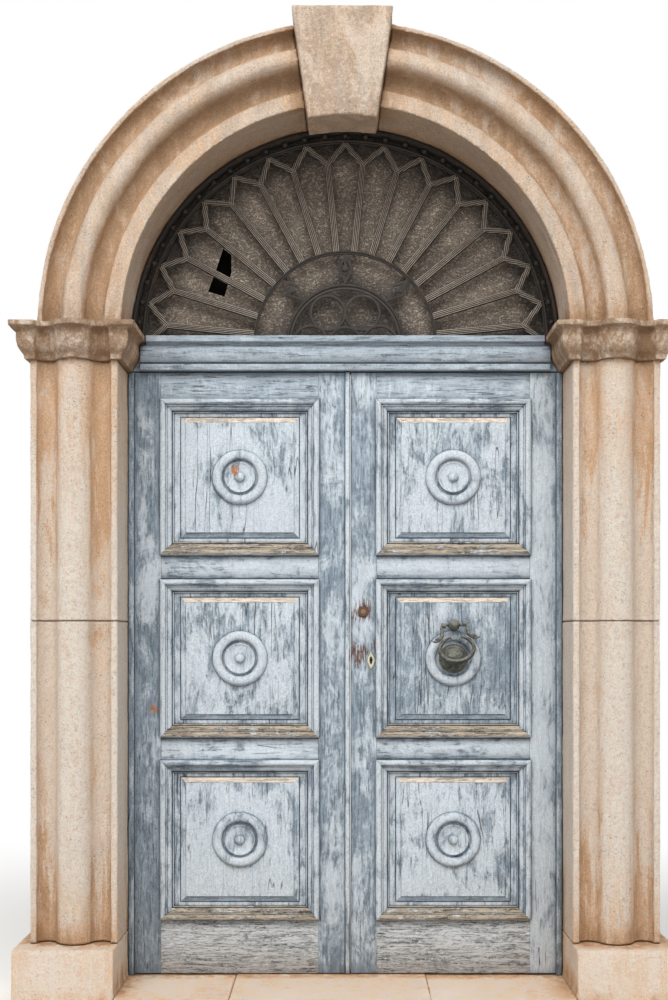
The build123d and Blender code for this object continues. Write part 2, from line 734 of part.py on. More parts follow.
def grille_spokes():
    """Sixteen spokes side by side over the half circle."""
    one = spoke()
    step = 180 / SPOKE_COUNT
    made = []
    for i in range(SPOKE_COUNT):
        turned = at_angle(one, step * (i + 0.5))
        made += above(turned, SPRING_Z).solids()
    return Compound(made)


def grille_rings():
    """Outer, middle and inner rings."""
    rings = [
        half_ring(OUTER_RING_R, OUTER_RING_W, -RING_T, 0),
        half_ring(MIDDLE_RING_R, MIDDLE_RING_W, -RING_T, 0),
        half_ring(INNER_RING_R, INNER_RING_W, -RING_T, 0),
    ]
    return Compound([s for ring in rings for s in ring.solids()])


def grille_ornaments():
    """Three open lozenges between the middle and inner rings."""
    r0, r1 = INNER_RING_R, MIDDLE_RING_R - MIDDLE_RING_W
    mid, long, wide = (r0 + r1) / 2, (r1 - r0) / 2 + LOZENGE_PIN / 2, LOZENGE_W / 2
    slim = 1 - 2 * LOZENGE_BAR / LOZENGE_W
    outer = [(mid - long, 0), (mid, -wide), (mid + long, 0), (mid, wide)]
    inner = [(mid + (x - mid) * slim, z * slim) for x, z in outer]
    lozenge = prism_xz(outer, -BAR_T, 0) - prism_xz(inner, -BAR_T - OVER, OVER)
    lozenge += box(r0, r1, -BAR_T, 0, -LOZENGE_PIN / 2, LOZENGE_PIN / 2)
    lozenge += rod_y(LOZENGE_BAR, mid, 0, -RING_T, 0)
    lozenge = lozenge & ring_xz(r1, r0, -FAR, FAR, 0, 0)
    return Compound([s for a in LOZENGE_ANGLES for s in at_angle(lozenge, a).solids()])


def grille_rosace():
    """Half a six-lobed rose inside the inner ring, cast in one."""
    shape = ring_xz(EYE_RING_R, EYE_RING_R - LOBE_BAR, -BAR_T, 0)
    for angle in LOBE_ANGLES:
        x = LOBE_AT * math.cos(math.radians(angle))
        z = ARCH_Z + LOBE_AT * math.sin(math.radians(angle))
        shape += ring_xz(LOBE_R, LOBE_R - LOBE_BAR, -BAR_T, 0, x, z)
    return above(shape, SPRING_Z)


def fanlight_sash():
    """The arched glazing frame behind the grille, rebated for the glass."""
    outer = ARCH_R - FAN_SEAT
    back_y = SASH_FRONT + GLASS_BED
    rim = half_ring(outer, GLASS_BED, SASH_FRONT, back_y)
    back = half_ring(outer, SASH_W, back_y, SASH_BACK)
    chord = math.sqrt((outer - GLASS_BED) ** 2 - ARCH_DROP**2)
    sill = box(-chord, chord, back_y, SASH_BACK, SPRING_Z, SPRING_Z + SASH_W)
    return rim + back + sill


def fanlight_glass():
    """One pebbled pane, with the hole where a strip is broken out."""
    radius = ARCH_R - 2 * FAN_SEAT - GLASS_BED
    back_y = SASH_FRONT + GLASS_BED
    pane = above(rod_y(radius, 0, ARCH_Z, back_y - GLASS_T, back_y), SPRING_Z)
    outline = [(x * ARCH_R, ARCH_Z + z * ARCH_R) for x, z in BROKEN_OUT]
    hole = prism_xz(outline, back_y - GLASS_T - OVER, back_y + OVER)
    return pane - hole


def knocker_mount(cx):
    """Ball boss on its stem, with the cross pin that the knocker hangs on."""
    y = FIELD_FACE - PIVOT_PROUD
    z = LEAF_Z + KNOCKER_Z
    ball = Pos(cx, y, z) * turned(dome(BALL_R, 0, BALL_R, BOSS_STEPS) + [(0, -BALL_R)])
    stem = rod_y(STEM_R, cx, z, y, FIELD_FACE)
    reach = ARM_X + ARM_EYE_HALF + PIN_PROUD
    pin = rod_x(PIVOT_R, y, z, cx - reach, cx + reach)
    return ball + stem + pin


def oval(half_x, half_z, end_r):
    """An oval of four arcs that run into each other, upright in the plane y = 0, centred on the origin."""
    across = half_x - end_r
    drop = (across**2 - (half_z - end_r) ** 2) / (2 * (half_z - end_r))
    reach = math.hypot(across, drop)
    px, pz = across + end_r * across / reach, end_r * drop / reach
    return Wire(
        [
            ThreePointArc((px, 0, -pz), (half_x, 0, 0), (px, 0, pz)).edge(),
            ThreePointArc((px, 0, pz), (0, 0, half_z), (-px, 0, pz)).edge(),
            ThreePointArc((-px, 0, pz), (-half_x, 0, 0), (-px, 0, -pz)).edge(),
            ThreePointArc((-px, 0, -pz), (0, 0, -half_z), (px, 0, -pz)).edge(),
        ]
    )


def bar_along(path, radius):
    """A bar of nearly round section along a path."""
    return sweep(Plane(origin=path @ 0, z_dir=path % 0) * RegularPolygon(radius, BAR_SIDES), path)


def knocker_ring(cx):
    """Oval ring on two scrolled arms, with eyes on the cross pin, leaning out until its nub meets the dome.

    It is drawn hanging straight below the origin, then tilted and carried to the pin."""
    shape = Pos(0, 0, -RING_DROP) * bar_along(oval(RING_RX, RING_RZ, RING_END_R), RING_BAR_R)
    for side in (-1, 1):
        shape += rod_x(ARM_EYE_R, 0, 0, side * ARM_X - ARM_EYE_HALF, side * ARM_X + ARM_EYE_HALF)
        line = FilletPolyline(*[(side * (ARM_X + x), 0, z) for x, z in ARM_STEPS], radius=ARM_BEND)
        shape += bar_along(line, ARM_BAR_R)
    shape -= rod_x(PIVOT_R + PIVOT_RUN, 0, 0, -2 * ARM_X, 2 * ARM_X)
    lean = math.radians(KNOCKER_TILT)
    low = RING_DROP + RING_RZ
    pivot_y = FIELD_FACE - PIVOT_PROUD
    shape = Pos(0, pivot_y, 0) * Rot(-KNOCKER_TILT, 0, 0) * shape
    nub_y = pivot_y - low * math.sin(lean)
    dome_y = FIELD_FACE - STRIKER_SEAT - STRIKER_H
    shape += rod_y(NUB_R, 0, -low * math.cos(lean), nub_y, dome_y - STRIKE_GAP)
    return Pos(cx, 0, LEAF_Z + KNOCKER_Z) * shape


def knocker_striker(cx, cz):
    """The domed plate that the ring strikes."""
    points = [(0, 0), (STRIKER_R, 0), *dome(STRIKER_R, STRIKER_RIM, STRIKER_H, STRIKER_STEPS)]
    return Pos(cx, FIELD_FACE - STRIKER_SEAT, cz) * turned(points)


def lock_cases():
    """The two rim lock cases on the back of the right meeting stile."""
    cases = []
    x0 = RIGHT_MEET + CASE_INSET
    for _, z, height, width in CASES:
        centre = LEAF_Z + z
        case = box(x0, x0 + width, LEAF_T, LEAF_T + CASE_T, centre - height / 2, centre + height / 2)
        case = chamfer(edges_at(case.edges(), Axis.Y, LEAF_T + CASE_T), CASE_ARRIS)
        end = x0 + BOLT_L + BOLT_END_CLEAR
        way = box(x0 - OVER, end, *bolt_span(SLIDE_CLEAR), *bolt_rise(centre, SLIDE_CLEAR))
        cases.append(case - way)
    return Compound(cases)


def bolt_span(clear=0.0):
    """The bolt's depth range inside its case."""
    middle = LEAF_T + CASE_T / 2
    return middle - BOLT_T / 2 - clear, middle + BOLT_T / 2 + clear


def bolt_rise(centre, clear=0.0):
    """The bolt's height range."""
    return centre - BOLT_H / 2 - clear, centre + BOLT_H / 2 + clear


def lock_bolt(z):
    """One dead bolt, drawn back flush with its case."""
    x0 = RIGHT_MEET + CASE_INSET
    return box(x0, x0 + BOLT_L, *bolt_span(), *bolt_rise(LEAF_Z + z))


def keeps_and_guides():
    """Box keeps for the two dead bolts, and the guides of the shoot bolts, on the left leaf's back."""
    made = []
    x1 = LEFT_MEET + BEAD_W - KEEP_INSET
    for _, z, _, _ in CASES:
        centre = LEAF_Z + z
        keep = box(x1 - KEEP_L, x1, LEAF_T, LEAF_T + CASE_T, centre - KEEP_H / 2, centre + KEEP_H / 2)
        way = box(x1 - KEEP_L / 2, x1 + OVER, *bolt_span(KEEP_CLEAR), *bolt_rise(centre, KEEP_CLEAR))
        made.append(keep - way)
    for low in (LEAF_Z, LEAF_Z + LEAF_H - SHOOT_L):
        for z in (low + GUIDE_AT, low + SHOOT_L - GUIDE_AT - GUIDE_H):
            half = GUIDE_W / 2
            guide = box(SHOOT_X - half, SHOOT_X + half, LEAF_T, LEAF_T + GUIDE_D, z, z + GUIDE_H)
            made.append(guide - rod_z(SHOOT_R + SHOOT_RUN, SHOOT_X, SHOOT_Y, z - 1, z + GUIDE_H + 1))
    return Compound(made)


def shoot_bolt(z0, z1):
    """One shoot bolt with its thumb knob."""
    middle = (z0 + z1) / 2
    knob = rod_y(KNOB_R, SHOOT_X, middle, SHOOT_Y, SHOOT_Y + KNOB_L)
    return rod_z(SHOOT_R, SHOOT_X, SHOOT_Y, z0, z1) + knob


def lock_cylinder():
    """The lock cylinder's barrel and collar, bored for the plug."""
    z = LEAF_Z + CYLINDER_Z
    collar = rod_y(CYLINDER_R, CYLINDER_X, z, -COLLAR_PROUD, 0)
    barrel = rod_y(BARREL_R, CYLINDER_X, z, -OVER, LEAF_T)
    return collar + barrel - rod_y(PLUG_R + PLUG_RUN, CYLINDER_X, z, -COLLAR_PROUD - OVER, LEAF_T + OVER)


def lock_plug():
    """The turning plug with its key slot."""
    z = LEAF_Z + CYLINDER_Z
    plug = rod_y(PLUG_R, CYLINDER_X, z, -PLUG_PROUD, LEAF_T - SLIDE_CLEAR)
    width, low, high, deep = KEY_SLOT
    return plug - box(CYLINDER_X - width / 2, CYLINDER_X + width / 2, -FAR, deep, z + low, z + high)


def escutcheon():
    """The lozenge keyhole plate with two screw heads."""
    width, height, thick = LOZENGE_PLATE
    z = LEAF_Z + KEYHOLE_Z
    x = KEYHOLE_X
    corners = [(x - width / 2, z), (x, z - height / 2), (x + width / 2, z), (x, z + height / 2)]
    plate = prism_xz(corners, -thick, 0)
    slot_half, slot_drop = KEYHOLE_SLOT
    hole = rod_y(KEYHOLE_R, x, z + KEYHOLE_R, -FAR, FAR)
    hole += box(x - slot_half, x + slot_half, -FAR, FAR, z - slot_drop, z + KEYHOLE_R)
    heads = [rod_y(SCREW_R, x, z + s * height * SCREW_SHARE, -thick - OVER, 0) for s in (-1, 1)]
    return plate - hole + heads


def build():
    """Every piece by its name."""
    pieces = {}
    joint_z = SLAB_T + SHAFT_JOINT_RISE
    rights = {
        "plinth": plinth(),
        "shaft_lower": shaft(SLAB_T + PLINTH_RISE, joint_z),
        "shaft_upper": shaft(joint_z, IMPOST_Z),
        "impost": impost(),
        "jamb": jamb(),
    }
    for name, shape in rights.items():
        pieces[f"{name}_right"] = shape
        pieces[f"{name}_left"] = mirrored(shape)
    pieces["archivolt_right"] = archivolt(KEY_SHIFT)
    pieces["archivolt_left"] = mirrored(archivolt(-KEY_SHIFT))
    pieces["keystone"] = keystone()
    pieces.update(threshold_pieces())
    pieces["transom"] = transom()
    pieces["grille_frame"] = grille_frame()
    pieces["grille_rings"] = grille_rings()
    pieces["grille_spokes"] = grille_spokes()
    pieces["grille_ornaments"] = grille_ornaments()
    pieces["grille_rosace"] = grille_rosace()
    pieces["fanlight_sash"] = fanlight_sash()
    pieces["fanlight_glass"] = fanlight_glass()
    left_panels = (-CLEAR_HALF + HINGE_STILE_L, LEFT_MEET - MEETING_STILE_L)
    right_panels = (RIGHT_MEET + MEETING_STILE_R, CLEAR_HALF - HINGE_STILE_R)
    pieces.update(leaf("left", -LEAF_EDGE, *left_panels, LEFT_MEET, True))
    right = leaf("right", RIGHT_MEET, *right_panels, LEAF_EDGE, False)
    bores = rod_y(BARREL_R + BARREL_CLEAR, CYLINDER_X, LEAF_Z + CYLINDER_Z, -OVER, LEAF_T + OVER)
    bores += rod_y(KEY_WAY_R, KEYHOLE_X, LEAF_Z + KEYHOLE_Z, -OVER, LEAF_T + OVER)
    slope = [(RIGHT_MEET, 0), (RIGHT_MEET - EDGE_BEVEL, LEAF_T), (RIGHT_MEET, LEAF_T)]
    sloped_stile = right["right_meeting_stile"] + upright(slope, LEAF_Z, LEAF_Z + LEAF_H)
    right["right_meeting_stile"] = sloped_stile - bores
    pieces.update(right)
    pieces["meeting_bead"] = meeting_bead()
    straps = [strap(LEAF_Z + z - STRAP_H / 2) for z in RAIL_CENTRES]
    pintles = [pintle(LEAF_Z + z - STRAP_H / 2) for z in RAIL_CENTRES]
    pieces["right_hinge_straps"] = Compound(straps)
    pieces["left_hinge_straps"] = Compound([mirrored(s) for s in straps])
    pieces["hinge_pintles"] = Compound(pintles + [mirrored(p) for p in pintles])
    middle = MODULES[1]
    knocker_x = sum(right_panels) / 2
    pieces["knocker_mount"] = knocker_mount(knocker_x)
    pieces["knocker_ring"] = knocker_ring(knocker_x)
    pieces["knocker_striker"] = knocker_striker(knocker_x, LEAF_Z + middle[1] + middle[2] / 2)
    pieces["lock_cases"] = lock_cases()
    pieces["upper_lock_bolt"] = lock_bolt(CYLINDER_Z)
    pieces["lower_lock_bolt"] = lock_bolt(KEYHOLE_Z)
    pieces["lock_cylinder"] = lock_cylinder()
    pieces["lock_plug"] = lock_plug()
    pieces["escutcheon"] = escutcheon()
    pieces["keeps_and_guides"] = keeps_and_guides()
    low = LEAF_Z + SHOOT_BACK
    high = LEAF_Z + LEAF_H - SHOOT_BACK
    pieces["bottom_shoot_bolt"] = shoot_bolt(low, low + SHOOT_L - 2 * SHOOT_BACK)
    pieces["top_shoot_bolt"] = shoot_bolt(high - SHOOT_L + 2 * SHOOT_BACK, high)
    return pieces


def main():
    os.makedirs("parts", exist_ok=True)
    for name, shape in build().items():
        shape.label = name
        export_step(shape, f"parts/{name}.step")


if __name__ == "__main__":
    main()
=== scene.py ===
"""Dresses the arched double door: worn limestone, painted timber, iron fanlight and old fittings."""

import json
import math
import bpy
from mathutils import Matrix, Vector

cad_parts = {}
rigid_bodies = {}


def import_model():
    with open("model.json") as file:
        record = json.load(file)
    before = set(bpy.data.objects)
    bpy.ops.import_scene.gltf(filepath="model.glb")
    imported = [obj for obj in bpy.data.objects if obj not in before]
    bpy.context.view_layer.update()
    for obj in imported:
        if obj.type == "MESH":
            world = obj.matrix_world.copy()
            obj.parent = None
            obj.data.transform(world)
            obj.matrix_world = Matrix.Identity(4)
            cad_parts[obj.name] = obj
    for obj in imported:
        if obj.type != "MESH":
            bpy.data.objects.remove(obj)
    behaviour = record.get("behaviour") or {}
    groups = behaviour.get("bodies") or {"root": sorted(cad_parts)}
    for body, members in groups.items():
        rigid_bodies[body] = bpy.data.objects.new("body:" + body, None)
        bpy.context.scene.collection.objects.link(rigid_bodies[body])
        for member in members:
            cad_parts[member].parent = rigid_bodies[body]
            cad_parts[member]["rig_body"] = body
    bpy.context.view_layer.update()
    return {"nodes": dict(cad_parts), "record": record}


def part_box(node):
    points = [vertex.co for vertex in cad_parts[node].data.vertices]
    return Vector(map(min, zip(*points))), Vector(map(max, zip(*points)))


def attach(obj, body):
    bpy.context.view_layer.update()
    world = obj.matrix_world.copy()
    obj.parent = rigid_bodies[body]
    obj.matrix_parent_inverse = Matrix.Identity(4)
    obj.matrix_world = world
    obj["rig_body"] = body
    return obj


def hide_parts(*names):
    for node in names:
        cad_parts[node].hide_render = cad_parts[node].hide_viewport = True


bl_info = {
    "name": "Arched Wooden Door",
    "version": (1, 0, 0),
    "blender": (4, 5, 0),
    "location": "3D View > Sidebar > Door",
    "description": "Dresses an arched double door in its moulded stone surround",
    "category": "Object",
}

import bmesh
import bpy
from bpy.props import FloatProperty, FloatVectorProperty, IntProperty, PointerProperty
from mathutils import Matrix, Vector
from mathutils.bvhtree import BVHTree

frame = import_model()
NODES = frame["nodes"]

SPRING_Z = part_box("grille_frame")[0].z
ARCH_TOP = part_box("grille_frame")[1].z
ARCH_RISE = ARCH_TOP - SPRING_Z
ARCH_R = (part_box("grille_frame")[1].x ** 2 + ARCH_RISE**2) / (2 * ARCH_RISE)
ARCH_Z = ARCH_TOP - ARCH_R
TURN = math.tau
SAME_SPOT = 1e-6


# Shader values


class Value:
    """A shader value. Arithmetic on it adds the nodes that work it out."""

    def __init__(self, finish, socket):
        self.finish = finish
        self.socket = socket

    def math(self, operation, *others):
        """What an operation makes of it and other values."""
        inputs = dict(enumerate((self, *others)))
        return self.finish.node("ShaderNodeMath", {"operation": operation}, inputs)

    def __add__(self, other):
        return self.math("ADD", other)

    __radd__ = __add__

    def __mul__(self, other):
        return self.math("MULTIPLY", other)

    __rmul__ = __mul__

    def __sub__(self, other):
        return self.math("SUBTRACT", other)

    def __rsub__(self, other):
        return self.math("MULTIPLY", -1.0) + other

    def __truediv__(self, other):
        return self.math("DIVIDE", other)

    def __pow__(self, other):
        return self.math("POWER", other)

    def size(self):
        """Its size without its sign."""
        return self.math("ABSOLUTE")

    def rise(self, low, high):
        """From 0 at low to 1 at high, smoothly."""
        settings = {"interpolation_type": "SMOOTHSTEP"}
        return self.finish.node("ShaderNodeMapRange", settings, {0: self, 1: low, 2: high, 3: 0.0, 4: 1.0})


class Finish:
    """A material, or the light of the world, built from nodes by a maker's short words."""

    def __init__(self, name, kind="materials"):
        self.made = getattr(bpy.data, kind).new(name)
        self.made.use_nodes = True
        self.tree = self.made.node_tree
        self.tree.nodes.clear()
        self.spot = None
        self.colour = None

    def node(self, kind, settings=None, inputs=None, output=0):
        """A node with its settings, then its inputs, as the value of one of its outputs."""
        made = self.tree.nodes.new(kind)
        for key, value in (settings or {}).items():
            setattr(made, key, value)
        for key, value in (inputs or {}).items():
            if isinstance(value, Value):
                self.tree.links.new(value.socket, made.inputs[key])
            else:
                made.inputs[key].default_value = value
        return Value(self, made.outputs[output]) if made.outputs else None

    def place(self):
        """The point on the object, as a vector value."""
        if self.spot is None:
            self.spot = self.node("ShaderNodeTexCoord", output="Object")
        return self.spot

    def parts(self, vector):
        """The x, y and z of a vector."""
        return [self.node("ShaderNodeSeparateXYZ", None, {0: vector}, i) for i in range(3)]

    def upward(self):
        """How far the surface looks up, from -1 to 1."""
        return self.parts(self.node("ShaderNodeTexCoord", output="Normal"))[2]

    def stretch(self, vector, scale, shift=(0.0, 0.0, 0.0)):
        """A vector times a scale, then moved."""
        inputs = {0: vector, 1: scale, 2: shift}
        return self.node("ShaderNodeVectorMath", {"operation": "MULTIPLY_ADD"}, inputs)

    def length(self, vector):
        """How long a vector is."""
        return self.node("ShaderNodeVectorMath", {"operation": "LENGTH"}, {0: vector}, 1)

    def noise(self, vector, scale, detail=4.0, rough=0.55, distortion=0.0):
        """Cloudy noise from 0 to 1, about 0.5 on average. scale is in cells for each metre."""
        inputs = {"Vector": vector, "Scale": scale, "Detail": detail, "Roughness": rough}
        return self.node("ShaderNodeTexNoise", None, inputs | {"Distortion": distortion})

    def cells(self, vector, scale):
        """How far a spot is from the middle of its cell."""
        return self.node("ShaderNodeTexVoronoi", None, {"Vector": vector, "Scale": scale})

    def mix(self, factor, first, second):
        """From the first colour at 0 to the second at 1."""
        inputs = {0: factor, 6: first, 7: second}
        return self.node("ShaderNodeMix", {"data_type": "RGBA"}, inputs, 2)

    def lay(self, colour, share):
        """Lays a colour over the base colour, as thick as share."""
        self.colour = self.mix(share, self.colour, colour)

    def shade(self, factor):
        """Multiplies the base colour by a grey value."""
        self.colour = self.tint(factor, self.colour)

    def tint(self, factor, colour):
        """A colour multiplied by a grey value."""
        grey = self.node("ShaderNodeCombineColor", None, {0: factor, 1: factor, 2: factor})
        settings = {"data_type": "RGBA", "blend_type": "MULTIPLY"}
        return self.node("ShaderNodeMix", settings, {0: 1.0, 6: colour, 7: grey}, 2)

    def shelter(self, distance):
        """How open a spot is, from 0 in a crevice to 1 on an open face."""
        return self.node("ShaderNodeAmbientOcclusion", {"samples": 6}, {"Distance": distance}, "AO")

    def relief(self, height, depth, strength=1.0):
        """Fine bumps whose height is given as a share of their depth."""
        inputs = {"Height": height, "Distance": depth, "Strength": strength}
        return self.node("ShaderNodeBump", None, inputs)

    def surface(self, roughness, normal, metallic=0.0, specular=0.5):
        """The closing shader, with the base colour. Gives the material."""
        inputs = {"Base Color": self.colour, "Roughness": roughness, "Metallic": metallic}
        inputs |= {"Normal": normal, "Specular IOR Level": specular}
        return self.end(self.node("ShaderNodeBsdfPrincipled", None, inputs))

    def end(self, shader, output="ShaderNodeOutputMaterial"):
        """Links the shader to the output. Gives the material or the world."""
        self.node(output, None, {"Surface": shader})
        return self.made


def rgb(code):
    """A colour written as on a paint card, such as C5CED8, as the shader takes it."""
    parts = [int(code[i : i + 2], 16) / 255 for i in (0, 2, 4)]
    linear = [c / 12.92 if c <= 0.04045 else ((c + 0.055) / 1.055) ** 2.4 for c in parts]
    return (*linear, 1.0)


# Looks that a user would change


def colour_choice(name, description, code):
    """A colour that a user may change."""
    return FloatVectorProperty(
        name=name, description=description, subtype="COLOR", size=4, default=rgb(code), min=0, max=1
    )


def length_choice(name, description, default, least, most):
    """A length in metres that a user may change."""
    return FloatProperty(
        name=name, description=description, default=default, min=least, max=most, unit="LENGTH"
    )


class StoneLook(bpy.types.PropertyGroup):
    """Colours and wear of the limestone"""

    warm: colour_choice("Warm stone", "Main colour of the limestone", "EFCAA6")
    pale: colour_choice("Pale stone", "Colour of its open faces", "F7E4D1")
    washed: colour_choice("Washed stone", "Colour where rain has washed it", "FBF1E5")
    stain: colour_choice("Stain", "Ochre stain", "DDB188")
    rust: colour_choice("Low stain", "Brown stain low in the hollows", "A8794F")
    # Also laid as painted shade under downward faces and, with dirt, in hollows.
    grime_and_shade: colour_choice("Grime", "Dirt in the hollows", "9C7A5C")
    # Also laid as painted shade in narrow creases.
    soot_and_shade: colour_choice("Soot", "Black dirt in joints and pores", "4A3B2F")
    grain: length_choice("Remesh size", "Size of the faces of the worn surface", 0.0065, 0.004, 0.03)
    wear: length_choice("Wear", "Depth of the worn hollows", 0.005, 0, 0.01)
    joint: length_choice("Joint", "How far from a joint the wear starts", 0.014, 0.001, 0.05)


class PaintLook(bpy.types.PropertyGroup):
    """Colours of paint and timber, and sizes of the panels"""

    pale: colour_choice("Top coat", "Chalky pale blue coat", "BFC8CF")
    chalk: colour_choice("Chalk", "Where the top coat is thick and white", "DFE4E8")
    slate: colour_choice("Under coat", "Slate blue coat below", "8593A0")
    # Also laid as painted shade under downward faces and in recesses.
    deep_and_shade: colour_choice("Deep streaks", "Darkest weathered streaks", "586570")
    # Also laid as painted shade in narrow creases, besides the cracks.
    gap: colour_choice("Creases", "Dirt in the quirks of the mouldings", "2E3438")
    bare: colour_choice("Bare wood", "Wood where the paint is gone", "B5A998")
    old: colour_choice("Grey wood", "Weathered grey wood", "C2C4C4")
    brown: colour_choice("Brown wood", "Darker streaks of the bare mouldings", "8A7F71")
    grey: colour_choice("Darker grey wood", "Darker streaks of the bottom rails", "9DA1A3")
    chip: colour_choice("Chip", "Fresh orange wood of a chip", "B5713C")
    rust: colour_choice("Rust stain", "Rust that has run round the lock", "5F3B28")
    peach: colour_choice("Fresh wood", "Light wood on the upper bevels", "EADCCD")
    grain_line: colour_choice("Grain lines", "Dark lines in bare wood", "4E4943")
    margin: length_choice("Side margin", "Flat width beside the bevel", 0.023, 0.005, 0.05)
    level_margin: length_choice("Level margin", "Flat width over and under the bevel", 0.0145, 0.005, 0.05)
    bevel: length_choice("Bevel", "Width of the bevel round the raised field", 0.0195, 0.005, 0.05)
    arris: length_choice("Arris", "Roundness of timber edges", 0.0018, 0.0005, 0.004)


class IronLook(bpy.types.PropertyGroup):
    """Colours of the fanlight and the reeds of its bars"""

    # Also laid on the glass as painted shade near its edge and beside the bars.
    dark: colour_choice("Iron", "Weathered iron", "3A3530")
    # Also laid as a painted highlight on reed crests and upward faces.
    light: colour_choice("Rubbed iron", "Iron on its high spots", "A2978A")
    rust: colour_choice("Iron rust", "Rust on the iron", "5C4030")
    glass: colour_choice("Pebbled glass", "Dusty glass", "988B7D")
    dust: colour_choice("Glass dirt", "Dirtier parts of the glass", "776C61")
    reeds: IntProperty(name="Reeds", description="Reeds round a spoke", default=4, min=3, max=12)


class FittingLook(bpy.types.PropertyGroup):
    """Colours of knocker and lock"""

    bronze: colour_choice("Bronze", "Dark green patina", "2B2C27")
    # Also laid as a painted highlight on upward faces.
    rubbed: colour_choice("Rubbed bronze", "Where hands have rubbed it", "A09C94")
    patina: colour_choice("Patina", "Green of the old bronze", "55604F")
    rust: colour_choice("Rust", "Rust of the lock", "6E3F26")
    brass: colour_choice("Pale brass", "Keyhole plate", "D2CDB4")
    lean: FloatProperty(
        name="Knocker lean", description="How far the loose knocker leans to the side",
        default=math.radians(6), min=0, max=0.3, unit="ROTATION",
    )


class StageLook(bpy.types.PropertyGroup):
    """Where the camera stands and how strong the light is"""

    eye: FloatVectorProperty(
        name="Camera", description="Where the camera stands", subtype="XYZ", size=3,
        default=(0.0, -5.2, 1.227), unit="LENGTH",
    )
    lens: FloatProperty(
        name="Lens", description="Focal length in millimetres", default=53.6, min=20, max=200
    )
    shift: FloatVectorProperty(
        name="Shift", description="Camera shift across and up", size=2, default=(-0.01125, 0.14)
    )
    sky: FloatProperty(
        name="Sky", description="Strength of the light from all round", default=0.56, min=0, max=3
    )
    lamp: FloatProperty(
        name="Lamp", description="Power of the large lamp", default=1330.0, min=0, max=5000, unit="POWER"
    )


# Meshes


def add_object(name, data):
    """Puts an object in the scene."""
    made = bpy.data.objects.new(name, data)
    bpy.context.scene.collection.objects.link(made)
    return made


def slot_of(node):
    """The material slot of one of the part's nodes."""
    for part in frame["record"]["subparts"]:
        if part["node"] == node:
            return part["material_slot"]
    raise KeyError(node)


def stand_in(name, node, mesh, *materials):
    """A piece in place of a node of the part, on the node's body."""
    piece = add_object(name, mesh)
    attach(piece, NODES[node]["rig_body"])
    slot_of(node)
    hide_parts(node)
    for material in materials:
        mesh.materials.append(material)
    return piece


def give(piece, material):
    """Gives an object one material."""
    piece.data.materials.clear()
    piece.data.materials.append(material)


def copy_of(node):
    """A welded copy of a node's mesh."""
    mesh = NODES[node].data.copy()
    mesh.materials.clear()
    work = bmesh.new()
    work.from_mesh(mesh)
    bmesh.ops.remove_doubles(work, verts=work.verts, dist=1e-5)
    work.to_mesh(mesh)
    work.free()
    return mesh


def shaped(mesh, *modifiers, weigh=None):
    """The mesh after some modifiers, each a type with its settings.

    weigh gives a vertex's weight in the group named open."""
    helper = add_object("helper", mesh)
    if weigh is not None:
        group = helper.vertex_groups.new(name="open")
        for vertex in mesh.vertices:
            group.add([vertex.index], weigh(vertex), "REPLACE")
    for kind, settings in modifiers:
        made = helper.modifiers.new(kind.lower(), kind)
        for key, value in settings.items():
            setattr(made, key, value)
    depsgraph = bpy.context.evaluated_depsgraph_get()
    result = bpy.data.meshes.new_from_object(helper.evaluated_get(depsgraph), depsgraph=depsgraph)
    bpy.data.objects.remove(helper)
    return result


def smooth(mesh, degrees=35):
    """Smooth faces, with sharp edges where they turn more than the angle."""
    for face in mesh.polygons:
        face.use_smooth = True
    mesh.set_sharp_from_angle(angle=math.radians(degrees))
    return mesh


def from_parts(name, build, degrees=35):
    """A mesh made by a function that fills a bmesh."""
    work = bmesh.new()
    build(work)
    bmesh.ops.recalc_face_normals(work, faces=work.faces)
    mesh = bpy.data.meshes.new(name)
    work.to_mesh(mesh)
    work.free()
    return smooth(mesh, degrees)


def centre_of(node):
    """The middle of a node's box."""
    low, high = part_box(node)
    return (Vector(low) + Vector(high)) / 2


def hollows(name, size):
    """A cloud texture whose clouds are about size metres wide."""
    texture = bpy.data.textures.new(name, "CLOUDS")
    texture.noise_scale = size
    texture.noise_depth = 3
    return texture


def turn_profile(work, profile, centre, steps=96):
    """Turns (radius, height) points round an axis that points to the street (-Y) through centre."""
    turns = [TURN * i / steps for i in range(steps)]
    rows = []
    for radius, height in profile:
        places = [(radius * math.cos(a), -height, radius * math.sin(a)) for a in turns]
        if radius < SAME_SPOT:
            places = [(0, -height, 0)]
        rows.append([work.verts.new(centre + Vector(place)) for place in places])
    for a, b in zip(rows, rows[1:]):
        for i in range(max(len(a), len(b))):
            j = (i + 1) % steps
            corners = [a[i % len(a)], a[j % len(a)], b[j % len(b)], b[i % len(b)]]
            corners = list(dict.fromkeys(corners))
            if len(corners) > 2:
                work.faces.new(corners)


def ball(work, centre, radius, stretch=(1, 1, 1), sides=16, rings=10):
    """A sphere, or an egg where it is stretched."""
    matrix = Matrix.Translation(centre) @ Matrix.Diagonal((*stretch, 1))
    bmesh.ops.create_uvsphere(work, u_segments=sides, v_segments=rings, radius=radius, matrix=matrix)


def skin(work, rows):
    """Faces between each closed row of vertices and the next."""
    made = []
    for a, b in zip(rows, rows[1:]):
        for i in range(len(a)):
            j = (i + 1) % len(a)
            made.append(work.faces.new((a[i], a[j], b[j], b[i])))
    return made


def arc(centre, radius, start, end, steps, rise=None):
    """Points of an arc, angles in degrees. With a rise of its own it's part of an ellipse."""
    rise = radius if rise is None else rise
    turns = [math.radians(start + (end - start) * i / steps) for i in range(steps + 1)]
    return [(centre[0] + radius * math.cos(a), centre[1] + rise * math.sin(a)) for a in turns]


